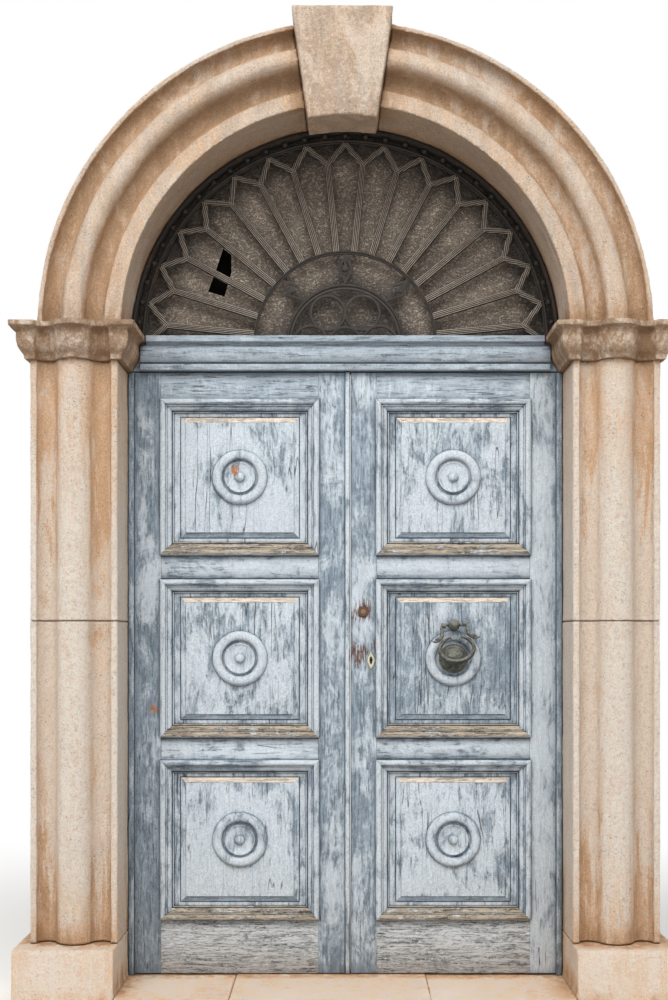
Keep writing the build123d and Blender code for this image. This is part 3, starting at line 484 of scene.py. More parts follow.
def half_ring(work, profile, steps=160):
    """A closed profile of (radius, y) points turned over the arch and cut off at the springing line."""
    rows = []
    for i in range(steps + 1):
        c, s = math.cos(math.pi * i / steps), math.sin(math.pi * i / steps)
        rows.append([work.verts.new((r * c, y, ARCH_Z + r * s)) for r, y in profile])
    skin(work, rows)
    geometry = work.verts[:] + work.edges[:] + work.faces[:]
    plane = {"plane_co": (0, 0, SPRING_Z), "plane_no": (0, 0, 1)}
    cut = bmesh.ops.bisect_plane(work, geom=geometry, clear_inner=True, **plane)
    edges = [e for e in cut["geom_cut"] if isinstance(e, bmesh.types.BMEdge)]
    bmesh.ops.contextual_create(work, geom=edges)
    bmesh.ops.holes_fill(work, edges=[e for e in work.edges if e.is_boundary])


def tube(work, points, section):
    """Sweeps a section along points and closes its ends.

    section(share) gives the (across, up) points at a share of the way. A third number of a point is
    kept as its vertex's reed height."""
    reed = work.verts.layers.float.get("reed") or work.verts.layers.float.new("reed")
    spots = [Vector(p) for p in points]
    last = len(spots) - 1
    up = None
    rows = []
    for i, spot in enumerate(spots):
        along = (spots[min(i + 1, last)] - spots[max(i - 1, 0)]).normalized()
        if up is None:
            up = Vector((0, -1, 0)) if abs(along.y) < 0.9 else Vector((0, 0, 1))
        up = (up - along * up.dot(along)).normalized()
        side = along.cross(up)
        row = []
        for across, rise, *height in section(i / last):
            row.append(work.verts.new(spot + side * across + up * rise))
            row[-1][reed] = height[0] if height else 0.5
        rows.append(row)
    skin(work, rows)
    work.faces.new(rows[0])
    work.faces.new(rows[-1][::-1])


def round_section(radius, sides=16, flat=1.0):
    """A round or oval section. radius may be a function of the share of the way."""
    turns = [TURN * k / sides for k in range(sides)]

    def section(share):
        r = radius(share) if callable(radius) else radius
        return [(r * math.cos(a), flat * r * math.sin(a)) for a in turns]

    return section


# Stone

STONES = (
    "plinth_left", "plinth_right", "shaft_lower_left", "shaft_lower_right", "shaft_upper_left",
    "shaft_upper_right", "impost_left", "impost_right", "archivolt_left", "archivolt_right", "keystone",
)
SLABS = ("threshold_left", "threshold_middle", "threshold_right")
# The bottom shoot bolt drops into this slab's socket, so it keeps its exact shape.
SOCKET_SLAB = "threshold_middle"
# Rain stains the stone above one height and splashes stain it below another, each over a soft edge.
RAIN_HEIGHT, RAIN_EDGE = 1.55, 0.35
SPLASH_HEIGHT, SPLASH_EDGE = 0.60, 0.30


def limestone(name, look, grime_and_shade=0.0, seed=0.0):
    """Warm dressed limestone: washed rolls, ochre stains, dirt in the hollows, painted shade in hollows,
    creases and under downward faces, pores and bedding.
    """
    f = Finish(name)
    p = f.place()
    z = f.parts(p)[2]
    nz = f.upward()
    moved = f.stretch(p, (1, 1, 1), (seed, seed, seed))
    open_face = f.shelter(0.09)
    crease = f.shelter(0.02)
    broad = f.noise(f.stretch(moved, (1, 1, 0.6)), 2.6, 4, 0.6)
    blotch = f.noise(f.stretch(moved, (1, 1, 0.4)), 11, 7, 0.72, 0.9)
    streaks = f.noise(f.stretch(moved, (1, 1, 0.09)), 26, 6, 0.68, 0.4)
    ragged = f.noise(moved, 70, 5, 0.75)
    sand = f.noise(moved, 200, 4, 0.8)
    grit = f.noise(moved, 430, 2, 0.7)
    # How sheltered a spot is; it steers stains and, in the dirt layers, painted shade.
    hollow = (0.92 - open_face) * 0.4
    high = z + (streaks - 0.5) * 1.8 + (ragged - 0.5) * 0.5 - RAIN_HEIGHT
    foot = SPLASH_HEIGHT - z + (streaks - 0.5) * 1.2 + (ragged - 0.5) * 0.4
    band = ((high / RAIN_EDGE).rise(0.0, 1.0) + (foot / SPLASH_EDGE).rise(0.0, 1.0)).rise(0.0, 1.0)
    rough_edge = (ragged - 0.5) * 0.22
    peach = blotch * 0.40 + streaks * 0.25 + broad * 0.35
    peach = peach + hollow * 0.15 + band * 0.10 - 0.05 + rough_edge
    f.colour = f.mix(peach.rise(0.47, 0.57) * 0.9, look.pale, look.warm)
    stained = blotch * 0.35 + broad * 0.30 + streaks * 0.35 + rough_edge
    stained = stained + hollow * (band * 0.35 + 0.10) + band * 0.09 - 0.05
    f.lay(look.stain, stained.rise(0.545, 0.625) * 0.75)
    washed = streaks * 0.5 + blotch * 0.5 + (open_face - 0.97) * 1.2 - band * 0.04 + rough_edge
    f.lay(look.washed, washed.rise(0.44, 0.55) * 0.65)
    # Partly dirt, partly painted shade: scaled by the stone's level, which darkens the impost, arch and
    # keystone for the shade under the overhang.
    aged_and_shade = (blotch * 0.6 + ragged * 0.4).rise(0.40, 0.58) * 0.5 + hollow.rise(0.0, 0.25) * 0.5
    f.lay(look.grime_and_shade, aged_and_shade * max(grime_and_shade, 0.0))
    # Painted shade: faces that look down are darkened.
    f.lay(look.grime_and_shade, (nz * -1).rise(0.0, 0.9) * 0.5)
    low = (0.9 - z).rise(0.0, 0.8) * (streaks * 0.6 + blotch * 0.6 + hollow * 0.9).rise(0.64, 0.80)
    f.lay(look.rust, low * 0.45)
    # Partly dirt, partly painted shade: darker in sheltered hollows, with noise.
    dirt = (hollow * 0.5 + (blotch - 0.5) * 1.1 + (ragged - 0.5) * 1.0 + grime_and_shade * 0.25).rise(0.10, 0.55)
    f.lay(look.grime_and_shade, dirt * 0.42)
    # Partly black dirt in joints, partly painted shade in narrow creases.
    soot_and_shade = (0.86 - crease + (sand - 0.5) * 0.5 + grime_and_shade * 0.1).rise(0.18, 0.55)
    f.lay(look.soot_and_shade, soot_and_shade * 0.48)
    spots = (sand * 0.6 + ragged * 0.4).rise(0.56, 0.64)
    f.lay(look.grime_and_shade, spots * 0.18)
    pale_spots = (0.5 - ragged * 0.5 + (0.5 - sand) * 0.5).rise(0.30, 0.40)
    f.lay(look.washed, pale_spots * 0.35)
    grain = (sand - 0.5) * 1.3 + (grit - 0.5) * 1.1 + (ragged - 0.5) * 0.9
    f.shade(grain + 1.10 + max(-grime_and_shade, 0.0) * 0.8)
    pores = (0.20 - f.cells(f.stretch(moved, (1, 1, 1.4)), 62)).rise(0.0, 0.12)
    pores = pores * (blotch * 0.5 + f.noise(moved, 13, 3) * 0.5).rise(0.48, 0.58)
    f.lay(look.soot_and_shade, pores * 0.6)
    height = blotch * 0.9 + sand * 1.3 + grit * 0.5 - pores * 0.9 + ragged * 1.6
    return f.surface(0.95, f.relief(height, 0.010, 1.0), specular=0.15)


def neighbours(node, reach):
    """The stones that touch a stone: for each, its box grown by reach and a search tree."""
    low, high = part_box(node)
    grow = Vector((reach,) * 3)
    found = []
    for other in (*STONES, *SLABS):
        a, b = Vector(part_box(other)[0]) - grow, Vector(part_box(other)[1]) + grow
        if other != node and all(a[i] <= high[i] and b[i] >= low[i] for i in range(3)):
            mesh = NODES[other].data
            faces = [tuple(face.vertices) for face in mesh.polygons]
            found.append((a, b, BVHTree.FromPolygons([v.co for v in mesh.vertices], faces)))
    return found


def worn(node, look, material):
    """A stone with softened arrises and shallow hollows, but with its joints still closed."""
    mesh = shaped(
        copy_of(node),
        ("REMESH", {"mode": "VOXEL", "voxel_size": look.grain}),
        ("SMOOTH", {"factor": 0.5, "iterations": 1}),
    )
    others = neighbours(node, look.joint)

    def weigh(vertex):
        """0 where another stone touches, or at the ground, and 1 away from it."""
        spot = vertex.co
        near = min(spot.z, look.joint)
        for low, high, tree in others:
            if all(low[i] < spot[i] < high[i] for i in range(3)):
                away = tree.find_nearest(spot, look.joint)[3]
                near = near if away is None else min(near, away)
        return near / look.joint

    wear = [
        ("DISPLACE", {"texture": hollows(node + kind, size), "texture_coords": "GLOBAL", "mid_level": 0.9,
                      "strength": depth, "vertex_group": "open"})
        for kind, size, depth in (("_dents", 0.14, look.wear), ("_pits", 0.022, look.wear * 0.45))
    ]
    mesh = smooth(shaped(mesh, *wear, weigh=weigh), 60)
    stand_in(node + "_worn", node, mesh, material)


class DOOR_OT_stone(bpy.types.Operator):
    """Wears the stones of the surround and the threshold"""

    bl_idname = "door.stone"
    bl_label = "Dress the stone"

    def execute(self, context):
        look = context.scene.door_stone
        # The numbers after look are a dirt level and a seed. The level is partly painted shade that darkens
        # the impost, arch and keystone for the shade under the overhang; below zero it brightens the stone.
        kinds = {
            "shaft": limestone("pilaster_stone", look),
            "plinth": limestone("plinth_stone", look, -0.2, 3.0),
            "impost": limestone("impost_stone", look, 1.5, 5.0),
            "archivolt": limestone("arch_stone", look, 0.45, 7.0),
            "keystone": limestone("key_stone", look, 0.9, 9.0),
            "threshold": limestone("threshold_stone", look, -0.45, 11.0),
        }
        for node in (*STONES, *SLABS):
            material = kinds[node.split("_")[0]]
            if node == SOCKET_SLAB:
                give(NODES[node], material)
            else:
                worn(node, look, material)
        return {"FINISHED"}


# Timber

SIDES = ("left", "right")
RAIL_PLACES = ("bottom", "lower", "upper", "top")
STICK_WIDTH = 0.047
STICK_LAP = 0.004
# Half the width of the open line of each mitre.
MITRE_GAP = 0.0003
# The slots of a panel's bevels that differ from its paint, by loop and side.
BEVEL_SLOTS = {(2, 0): 4, (2, 2): 3, (3, 2): 3}
BARE_SLOT = 3


def painted(name, look, grain, slate=0.0, cover=0.85, cracks=0.4, seed=0.0, spots=(), hairy=1.0):
    """Flaking pale paint over a slate coat, on timber whose grain runs along x or z, with painted shade
    under downward faces, in recesses and in creases.

    slate is how much of the pale coat is gone, about -0.1 to 0.1, and cover how strongly the slate shows.
    spots are patches (x, z, reach, colour)."""
    f = Finish(name)
    p = f.place()
    shift = (seed, seed * 0.7, seed * 1.3)
    fibre_way = f.stretch(p, (0.045, 1, 1) if grain == "x" else (1, 1, 0.045), shift)
    mid_way = f.stretch(p, (0.2, 1, 1) if grain == "x" else (1, 1, 0.2), shift)
    nz = f.upward()
    fibre = f.noise(fibre_way, 260, 4, 0.7)
    hair = f.noise(f.stretch(fibre_way, (1, 1, 1), (7.3, 4.1, 5.9)), 165, 3, 0.8, 0.3)
    streak = f.noise(mid_way, 62, 6, 0.72, 0.5)
    cloud = f.noise(f.stretch(p, (1, 1, 0.6), shift), 6.5, 7, 0.72, 0.9)
    broad = f.noise(f.stretch(p, (1, 1, 0.6), shift), 2.4, 2, 0.5)
    speck = f.noise(p, 300, 3, 0.8)
    blot = f.noise(f.stretch(p, (1, 1, 0.75), shift), 75, 5, 0.78)
    open_face = f.shelter(0.05)
    crease = f.shelter(0.007)
    edge_wear = (0.95 - open_face) * 0.14
    coat = cloud * 0.42 + broad * 0.12 + streak * 0.24 + fibre * 0.08 + blot * 0.16 + edge_wear
    gone = (coat + slate).rise(0.490, 0.585)
    patchy = (cloud * 0.4 + broad * 0.3 + streak * 0.3 + slate * 0.6 + edge_wear).rise(0.47, 0.56)
    under = f.mix((streak * 0.5 + blot * 0.35 + fibre * 0.15).rise(0.44, 0.60), look.slate, look.deep_and_shade)
    top = f.mix((blot * 0.6 + streak * 0.4).rise(0.50, 0.62) * 0.8, look.pale, look.chalk)
    top = f.mix((streak * 0.5 + cloud * 0.5).rise(0.49, 0.60) * 0.45, top, look.slate)
    f.colour = f.mix(gone * cover, top, under)
    flakes = (blot * 0.65 + speck * 0.2 + streak * 0.15).rise(0.56, 0.62)
    f.lay(look.chalk, flakes * gone * 0.6)
    dark_hair = (hair * 0.7 + blot * 0.3).rise(0.53, 0.60) * (patchy * 0.8 + 0.2)
    f.lay(look.deep_and_shade, dark_hair * hairy * 0.75)
    # Painted shade: faces that look down are darkened.
    f.lay(look.deep_and_shade, (nz * -1).rise(0.2, 0.8) * 0.45)
    split = f.noise(f.stretch(fibre_way, (1, 1, 1), (3.1, 1.7, 2.3)), 19, 2, 0.5)
    line = 1 - (split - 0.5).size().rise(0.0, 0.005)
    line = line * f.noise(p, 5, 3).rise(0.64 - cracks * 0.2, 0.70 - cracks * 0.2)
    f.lay(look.gap, line * 0.75)
    pits = (speck * 0.5 + blot * 0.5).rise(0.57, 0.63)
    f.lay(look.deep_and_shade, pits * 0.55)
    for x0, z0, reach, patch in spots:
        off = f.stretch(p, (1, 0, 0.8), (-x0, 0, -z0 * 0.8))
        far = f.length(off)
        near = (1 - far / reach + (streak - 0.5) * 3.0 + (fibre - 0.5) * 3.0).rise(0.10, 0.40)
        near = near * (fibre * 0.5 + blot * 0.5).rise(0.42, 0.52)
        f.lay(f.tint(speck * 1.6 + 0.2, patch), near * 0.9)
    # Partly dirt, partly painted shade: darker in recesses, with noise along the grain.
    dirt = (0.92 - open_face + (fibre - 0.5) * 0.3).rise(0.10, 0.75)
    f.lay(look.deep_and_shade, dirt * 0.4)
    # Painted shade: a dark line in the narrow creases of the mouldings.
    edge = (0.90 - crease).rise(0.05, 0.45)
    f.lay(look.gap, edge * 0.9)
    f.shade((speck - 0.5) * 1.7 + (fibre - 0.5) * 0.5 + (blot - 0.5) * 0.8 + 1.03)
    height = fibre * 0.5 + dark_hair * -0.4 - line * 1.6 - gone * 0.5
    height = height + flakes * 0.4 + blot * 1.0 + speck * 0.6
    return f.surface(0.85, f.relief(height, 0.0028, 1.0), specular=0.2)


def planed(node, material, arris):
    """A carried-over solid with its arrises taken off."""
    bevel = {"width": arris, "segments": 2, "limit_method": "ANGLE", "angle_limit": math.radians(40)}
    mesh = shaped(copy_of(node), ("BEVEL", bevel))
    stand_in(node + "_dressed", node, smooth(mesh, 40), material)


def levels(node):
    """The height ranges of a node's parts, where it falls into parts one over another."""
    heights = sorted({round(v.co.z, 4) for v in NODES[node].data.vertices})
    ranges, start = [], heights[0]
    for a, b in zip(heights, heights[1:] + [heights[-1] + 1]):
        if b - a > 0.1 and a - start > 0.05:
            ranges.append((start, a))
            start = b
    return ranges


def modules(side):
    """The outer edges of a leaf's three moulding frames, as (x0, x1, z0, z1)."""
    low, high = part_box(f"{side}_mouldings")
    rails = [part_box(f"{side}_{place}_rail") for place in RAIL_PLACES]
    lap = rails[0][1].z - low.z
    return [(low.x, high.x, a[1].z - lap, b[0].z + lap) for a, b in zip(rails, rails[1:])]


def stick_profile(node):
    """Roll, quirk, fillet, cove and bead of a moulding stick, as (distance from its outer edge, y)."""
    front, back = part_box(node)[0].y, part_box(node)[1].y
    roll = arc((0.0108, front + 0.0125), -0.0108, 0, 170, 17, -0.0125)
    fillet = [(0.0218, front + 0.0138), (0.0224, front + 0.0095), (0.0256, front + 0.0095)]
    cove = arc((0.0262, front + 0.0290), 0.0150, -90, 0, 9, 0.0140)
    quirk = [(0.0415, front + 0.0318), (0.0424, front + 0.0318)]
    bead = arc((0.0447, front + 0.0300), -0.0022, 0, 180, 9)
    foot = [(STICK_WIDTH, back), (STICK_LAP, back), (STICK_LAP, 0.0), (0.0, 0.0)]
    return [*roll, *fillet, (0.0262, front + 0.0142), *cove, *quirk, *bead, *foot]


def mitred_frame(work, x0, x1, z0, z1, profile):
    """Four mitred sticks round a panel; the faces of bottom, side and top sticks get slots 0, 1 and 2."""

    def corner(u, y, end):
        """A point of the mitre at a corner, u in from the outer edge."""
        x = (x0 + u, x1 - u, x1 - u, x0 + u)[end % 4]
        z = (z0 + u, z0 + u, z1 - u, z1 - u)[end % 4]
        return Vector((x, y, z))

    for side, slot in enumerate((0, 1, 2, 1)):
        away = (corner(0, 0, side + 1) - corner(0, 0, side)).normalized() * MITRE_GAP
        start = [work.verts.new(corner(u, y, side) + away) for u, y in profile]
        end = [work.verts.new(corner(u, y, side + 1) - away) for u, y in profile]
        for face in (work.faces.new(start[::-1]), work.faces.new(end), *skin(work, [start, end])):
            face.material_index = slot


def raised_panel(work, x0, x1, z0, z1, loops, slots):
    """A panel of rectangular loops, from the field outwards.

    slots gives a face's material slot by its loop and side."""
    rows = []
    for aside, above, y in loops:
        a, b, c, d = x0 + aside, x1 - aside, z0 + above, z1 - above
        rows.append([work.verts.new((x, y, z)) for x, z in ((a, c), (b, c), (b, d), (a, d))])
    for row in (rows[0], rows[-1][::-1]):
        work.faces.new(row).material_index = slots(0, 0)
    for index, face in enumerate(skin(work, rows)):
        face.material_index = slots(*divmod(index, 4))


def bare_wood(name, look, light, dark, paint, seed, lined=0.8):
    """Bare weathered wood of two tones, with wavy dark lines along x, some paint left on it and painted
    shade in its creases.

    paint is how much is left, about 0, and lined how dark the lines are."""
    f = Finish(name)
    p = f.place()
    shift = (seed, seed, seed)
    way = f.stretch(p, (0.05, 1, 1), shift)
    fibre = f.noise(way, 260, 4, 0.75, 0.6)
    waves = f.noise(f.stretch(p, (0.08, 1, 1), shift), 46, 4, 0.62, 1.3)
    streak = f.noise(f.stretch(p, (0.10, 1, 1), shift), 95, 5, 0.75)
    blot = f.noise(f.stretch(p, (0.5, 1, 1), shift), 90, 4, 0.75)
    speck = f.noise(p, 300, 3, 0.7)
    crease = f.shelter(0.006)
    f.colour = f.mix((streak * 0.6 + fibre * 0.4).rise(0.44, 0.60), light, dark)
    rings = 1 - ((waves * 9).math("FRACT") - 0.5).size().rise(0.02, 0.15)
    lines = rings * (streak * 0.5 + blot * 0.5).rise(0.44, 0.54)
    lines = lines + (fibre * 0.6 + streak * 0.4).rise(0.54, 0.60)
    f.lay(look.grain_line, lines.rise(0.0, 0.8) * lined)
    left = (streak * 0.45 + f.noise(p, 9, 4, 0.6) * 0.25 + blot * 0.5 + paint).rise(0.615, 0.66)
    f.lay(look.chalk, left * 0.8)
    # Painted shade: a dark line in the narrow creases.
    f.lay(look.gap, (0.90 - crease).rise(0.05, 0.45) * 0.85)
    f.shade((speck - 0.5) * 1.1 + (fibre - 0.5) * 1.0 + 1.03)
    return f.surface(0.85, f.relief(fibre - lines * 0.7 + left * 0.4, 0.003, 1.0), specular=0.15)


class DOOR_OT_timber(bpy.types.Operator):
    """Paints and wears the leaves, the jambs, the transom and the sash"""

    bl_idname = "door.timber"
    bl_label = "Dress the timber"

    def execute(self, context):
        look = context.scene.door_paint
        cylinder, plate = centre_of("lock_cylinder"), centre_of("escutcheon")
        rusted = [
            (cylinder.x, cylinder.z, 0.034, look.rust),
            (plate.x - 0.055, plate.z + 0.028, 0.036, look.rust),
            (plate.x + 0.028, plate.z + 0.046, 0.028, look.rust),
        ]
        low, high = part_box("left_hinge_stile")
        chips = [(low.x * 0.25 + high.x * 0.75, 0.985, 0.013, look.chip)]
        stiles = (
            ("left_hinge_stile", "slate_stile_left", 0.055, 1.1, chips),
            ("left_meeting_stile", "pale_meeting_stile", 0.043, 2.3, ()),
            ("meeting_bead", "bead_paint", 0.012, 3.1, rusted[:2]),
            ("right_meeting_stile", "worn_meeting_stile", 0.048, 4.2, rusted),
            ("right_hinge_stile", "pale_hinge_stile", -0.03, 5.6, ()),
            ("jamb_left", "jamb_paint", 0.03, 6.4, ()),
        )
        looks = {
            node: painted(name, look, "z", slate=slate, seed=seed, spots=spots)
            for node, name, slate, seed, spots in stiles
        }
        looks["jamb_right"] = looks["jamb_left"]
        looks["transom"] = painted("transom_paint", look, "x", slate=0.10, cover=0.55, seed=7.7)
        looks["fanlight_sash"] = looks["transom"]
        for side, seed in zip(SIDES, (10.3, 12.1)):
            # The top rails' darker coat is partly painted shade under the transom.
            top = painted(f"{side}_top_rail_paint_and_shade", look, "x", slate=0.055, cover=0.55, seed=seed)
            middle = painted(f"{side}_rail_paint", look, "x", slate=-0.02, seed=seed + 3)
            low = bare_wood(f"{side}_bottom_rail_wood", look, look.old, look.grey, 0.0, seed)
            for place, material in zip(RAIL_PLACES, (low, middle, middle, top)):
                looks[f"{side}_{place}_rail"] = material
        for node, material in looks.items():
            planed(node, material, look.arris)
        return {"FINISHED"}


class DOOR_OT_panels(bpy.types.Operator):
    """Carves the raised panels and their bolection mouldings"""

    bl_idname = "door.panels"
    bl_label = "Carve the panels"

    def execute(self, context):
        look = context.scene.door_paint
        peach = bare_wood("bare_bevel", look, look.peach, look.peach, -0.05, 2.2, 0.15)
        # The bottom bevel's darker slate coat is partly painted shade on the downward-facing bevel.
        foot = painted("bottom_bevel_paint", look, "x", slate=0.09, seed=1.7)
        sill = bare_wood("bare_moulding", look, look.bare, look.brown, -0.02, 5.2)
        level = painted("level_moulding_paint", look, "x", slate=0.0, seed=9.9)
        shaded = painted("shaded_moulding_paint", look, "x", slate=0.01, seed=4.9)
        upright = painted("upright_moulding_paint", look, "z", slate=-0.01, seed=9.1)
        for side, slates in zip(SIDES, ((-0.005, -0.005, -0.02), (-0.005, 0.075, 0.01))):
            seed = 8.5 + len(side)
            coats = [
                painted(f"{side}_panel_paint_{n}", look, "z", slate=slate, cracks=0.9, seed=seed + n)
                for n, slate in enumerate(slates)
            ]
            node = f"{side}_panels"
            field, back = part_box(node)[0].y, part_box(node)[1].y
            loops = self.loops(look, field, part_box(f"{side}_mouldings")[1].y, back)

            def panels(work):
                """The three panels, with the slots of their bevels"""
                for n, module in enumerate(modules(side)):
                    raised_panel(work, *module, loops, lambda loop, i: BEVEL_SLOTS.get((loop, i), n))

            stand_in(node + "_carved", node, from_parts(node, panels, 22), *coats, peach, foot)
            node = f"{side}_mouldings"
            profile = stick_profile(node)

            def sticks(work):
                for module in modules(side):
                    mitred_frame(work, *module, profile)

            mesh = from_parts(node, sticks, 28)
            self.bare_sills(mesh, side)
            stand_in(node + "_run", node, mesh, level, upright, shaded, sill)
        return {"FINISHED"}

    def loops(self, look, field, face, back):
        """Field, nosing, bevel, groove, margin, edge, tongue and back of a panel.

        Each is the inset at the sides, the inset above and below, and y."""
        foot = STICK_WIDTH + look.margin
        top = foot + look.bevel
        less = look.margin - look.level_margin
        middle = (face + back) / 2
        tongue = 0.004
        carved = [
            (top + 0.0035, field), (top + 0.0006, field + 0.0006), (top, field + 0.0034),
            (foot + 0.0024, face - 0.0014), (foot + 0.0014, face + 0.0024), (foot - 0.0008, face + 0.0024),
            (foot - 0.0016, face),
        ]
        plate = [
            (0.004, face), (0.004, middle - tongue), (-0.004, middle - tongue), (-0.004, middle + tongue),
            (0.004, middle + tongue), (0.004, back),
        ]
        return [(inset, inset - less, y) for inset, y in carved] + [(inset, inset, y) for inset, y in plate]

    def bare_sills(self, mesh, side):
        """The inner slope of each bottom stick has lost its paint and gets the slot of bare wood."""
        for face in mesh.polygons:
            if face.material_index == 0 and face.normal.y < 0:
                inset = min(abs(face.center.z - z0) for _, _, z0, _ in modules(side))
                if inset > STICK_LAP:
                    face.material_index = BARE_SLOT


# Rosettes

# Where the left leaf's top rosette is chipped, across and up from its centre.
CHIP = (-0.0176, 0.0235)


def rosette_profile():
    """Torus, hollow, dished disc with a fine rim, and boss, as (radius, height) over the field."""
    torus = arc((0.0785, 0.0008), 0.0175, 0, 171, 19, 0.0160)
    hollow = [(0.0600, 0.0028), (0.0580, 0.0030), (0.0538, 0.0046), (0.0536, 0.0108), (0.0528, 0.0124)]
    rim = [(0.0512, 0.0130), (0.0494, 0.0122), (0.0470, 0.0104)]
    dish = [(0.0400, 0.0086), (0.0300, 0.0078), (0.0200, 0.0080)]
    boss = arc((0.0, 0.0086), 0.0174, 0, 81, 9, 0.0155)
    return [(0.096, 0.0), *torus, *hollow, *rim, *dish, *boss, (0.0, 0.0241)]


def rosette_spots(node):
    """The centres of a node's rosettes, low to high."""
    low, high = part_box(node)
    return [Vector(((low.x + high.x) / 2, high.y, (a + b) / 2)) for a, b in levels(node)]


class DOOR_OT_rosettes(bpy.types.Operator):
    """Turns the rosettes of the panels"""

    bl_idname = "door.rosettes"
    bl_label = "Turn the rosettes"

    def execute(self, context):
        look = context.scene.door_paint
        top = rosette_spots("left_rosettes")[-1]
        chipped = [(top.x + CHIP[0], top.z + CHIP[1], 0.016, look.chip)]
        paint = painted(
            "rosette_paint", look, "z", slate=-0.03, cracks=0.2, seed=14.2, spots=chipped, hairy=0.4
        )
        for side in SIDES:
            node = f"{side}_rosettes"

            def rosettes(work):
                for spot in rosette_spots(node):
                    turn_profile(work, rosette_profile(), spot)

            stand_in(node + "_turned", node, from_parts(node, rosettes), paint)
        return {"FINISHED"}


# Fanlight

SPOKES = 16
FORK_R = 0.839 * ARCH_R
STEM_START = 0.4345 * ARCH_R
OUTER_RING = (0.9330 * ARCH_R, 0.9525 * ARCH_R)
MIDDLE_RING = (0.4165 * ARCH_R, 0.4342 * ARCH_R)
INNER_RING = (0.2497 * ARCH_R, 0.2765 * ARCH_R)
STUDS = 33
BLACK_IRON = "171412"
ORNAMENT_ARRIS = 0.0028


def iron(name, look, rubbed=0.5):
    """Weathered iron: black in the hollows, rubbed lighter and a little rusty on its high spots, with
    painted highlights on reed crests and upward faces and painted shade in the reed grooves.
    """
    f = Finish(name)
    p = f.place()
    mottle = f.noise(p, 70, 5, 0.65)
    fine = f.noise(p, 420, 3, 0.6)
    broad = f.noise(p, 7, 3)
    nz = f.upward()
    open_face = f.shelter(0.01)
    reed = f.node("ShaderNodeAttribute", {"attribute_name": "reed"}, output="Fac")
    # Partly rubbed wear, partly painted highlight: reed crests, upward faces and open faces get more of the
    # light colour.
    light = nz * 0.2 + (open_face - 0.8) * 0.3 + mottle * 0.5 + fine * 0.35 + reed * 0.5 - 0.60
    f.colour = f.mix(light.rise(0.0, 0.42) * rubbed, look.dark, look.light)
    # Painted shade: black in the grooves between the reeds.
    f.lay(rgb(BLACK_IRON), (0.35 - reed).rise(0.0, 0.3) * 0.6)
    rust = (f.noise(p, 24, 5, 0.7) + broad * 0.3).rise(0.66, 0.8)
    f.lay(look.rust, rust * 0.3)
    f.lay(rgb(BLACK_IRON), (0.70 - open_face).rise(0.0, 0.5) * 0.7)
    height = mottle * 0.7 + fine * 0.5
    return f.surface(0.62, f.relief(height, 0.001, 0.9), specular=0.35)


def pebbled(name, look):
    """Dusty pebbled glass with a worm-like grain, with painted shade towards its edge and painted shadows
    beside the bars.
    """
    f = Finish(name)
    p = f.place()
    warp = f.noise(f.stretch(p, (1, 1, 1.8)), 102, 0, 0.5, 1.8)
    grain = f.noise(f.stretch(p, (1, 1, 1.5)), 190, 2, 0.55, 1.0)
    broad = f.noise(p, 5, 4, 0.6)
    x, z = f.parts(p)[::2]
    radius = (x * x + (z - ARCH_Z) * (z - ARCH_Z)) ** 0.5
    open_face = f.shelter(0.05)
    f.colour = f.mix(broad.rise(0.3, 0.7), look.glass, look.dust)
    # Painted shade: darker towards the edge, for the shadow of the arch and frame.
    f.lay(look.dark, radius.rise(0.58, 0.70) * 0.7)
    f.lay(look.dark, (0.34 - radius).rise(0.0, 0.15) * 0.75)
    # Painted shadow: darker beside the bars and in sheltered spots.
    f.lay(look.dark, (0.97 - open_face).rise(0.0, 0.7) * 0.7)
    pebble = warp.rise(0.36, 0.64)
    f.shade(pebble * 0.95 + grain * 0.3 + 0.46)
    normal = f.relief(pebble + grain * 0.2, 0.004, 1.0)
    return f.surface(0.4, normal, specular=0.3)


def reeded(reeds, width, depth, twist):
    """The section of a flat bar with round reeds on its face, which slant by twist reeds from end to end."""
    steps = reeds * 8

    def section(share):
        half = width(share)
        points = []
        for k in range(steps + 1):
            u = 1 - 2 * k / steps
            wave = 0.5 - 0.5 * math.cos(TURN * (reeds * (u + 1) / 2 + twist * share))
            rise = depth * (0.40 + 0.60 * math.sqrt(1 - 0.85 * u * u)) - 0.0026 * (1 - wave)
            points.append((half * u, rise, wave))
        return points + [(-half, -depth, 0.0), (half, -depth, 0.0)]

    return section


def spoke_bars(work, angle, look):
    """One Y-shaped spoke: a tapered stem and two arms to the outer ring."""
    half = math.pi / SPOKES / 2
    tip = Vector((OUTER_RING[0] * math.cos(half), 0, OUTER_RING[0] * math.sin(half)))
    fork = Vector((FORK_R, 0, 0))
    depth = 0.0085
    middle = Vector((0, -0.0045, ARCH_Z))
    turn = Matrix.Rotation(-angle, 4, "Y")

    def bar(start, end, steps, width, reeds, twist):
        """A bar between two points of the spoke that lies along x"""
        spots = [turn @ start.lerp(end, i / steps) + middle for i in range(steps + 1)]
        tube(work, spots, reeded(reeds, width, depth, twist))

    start = Vector((STEM_START - 0.004, 0, 0))
    bar(start, fork, 6, lambda share: 0.0122 - 0.0020 * share, look.reeds, 0.0)
    for side in (1, -1):
        end = Vector((tip.x, 0, tip.z * side))
        bar(fork, end, 60, lambda share: 0.0096 - 0.0006 * share, look.reeds - 1, 2.2)
    ball(work, turn @ fork + middle, 0.0088, (1, 0.72, 1))


def ring_profile(inner, outer, bead):
    """A flat ring with a round bead along its outer edge."""
    back, front = 0.0, -0.0115
    flat = [(inner, back), (inner, front + 0.005), (inner + 0.002, front + 0.0035)]
    roll = arc((outer - bead, front + bead), bead, 0, -180, 8)
    return [*flat, *roll[::-1], (outer, back)]


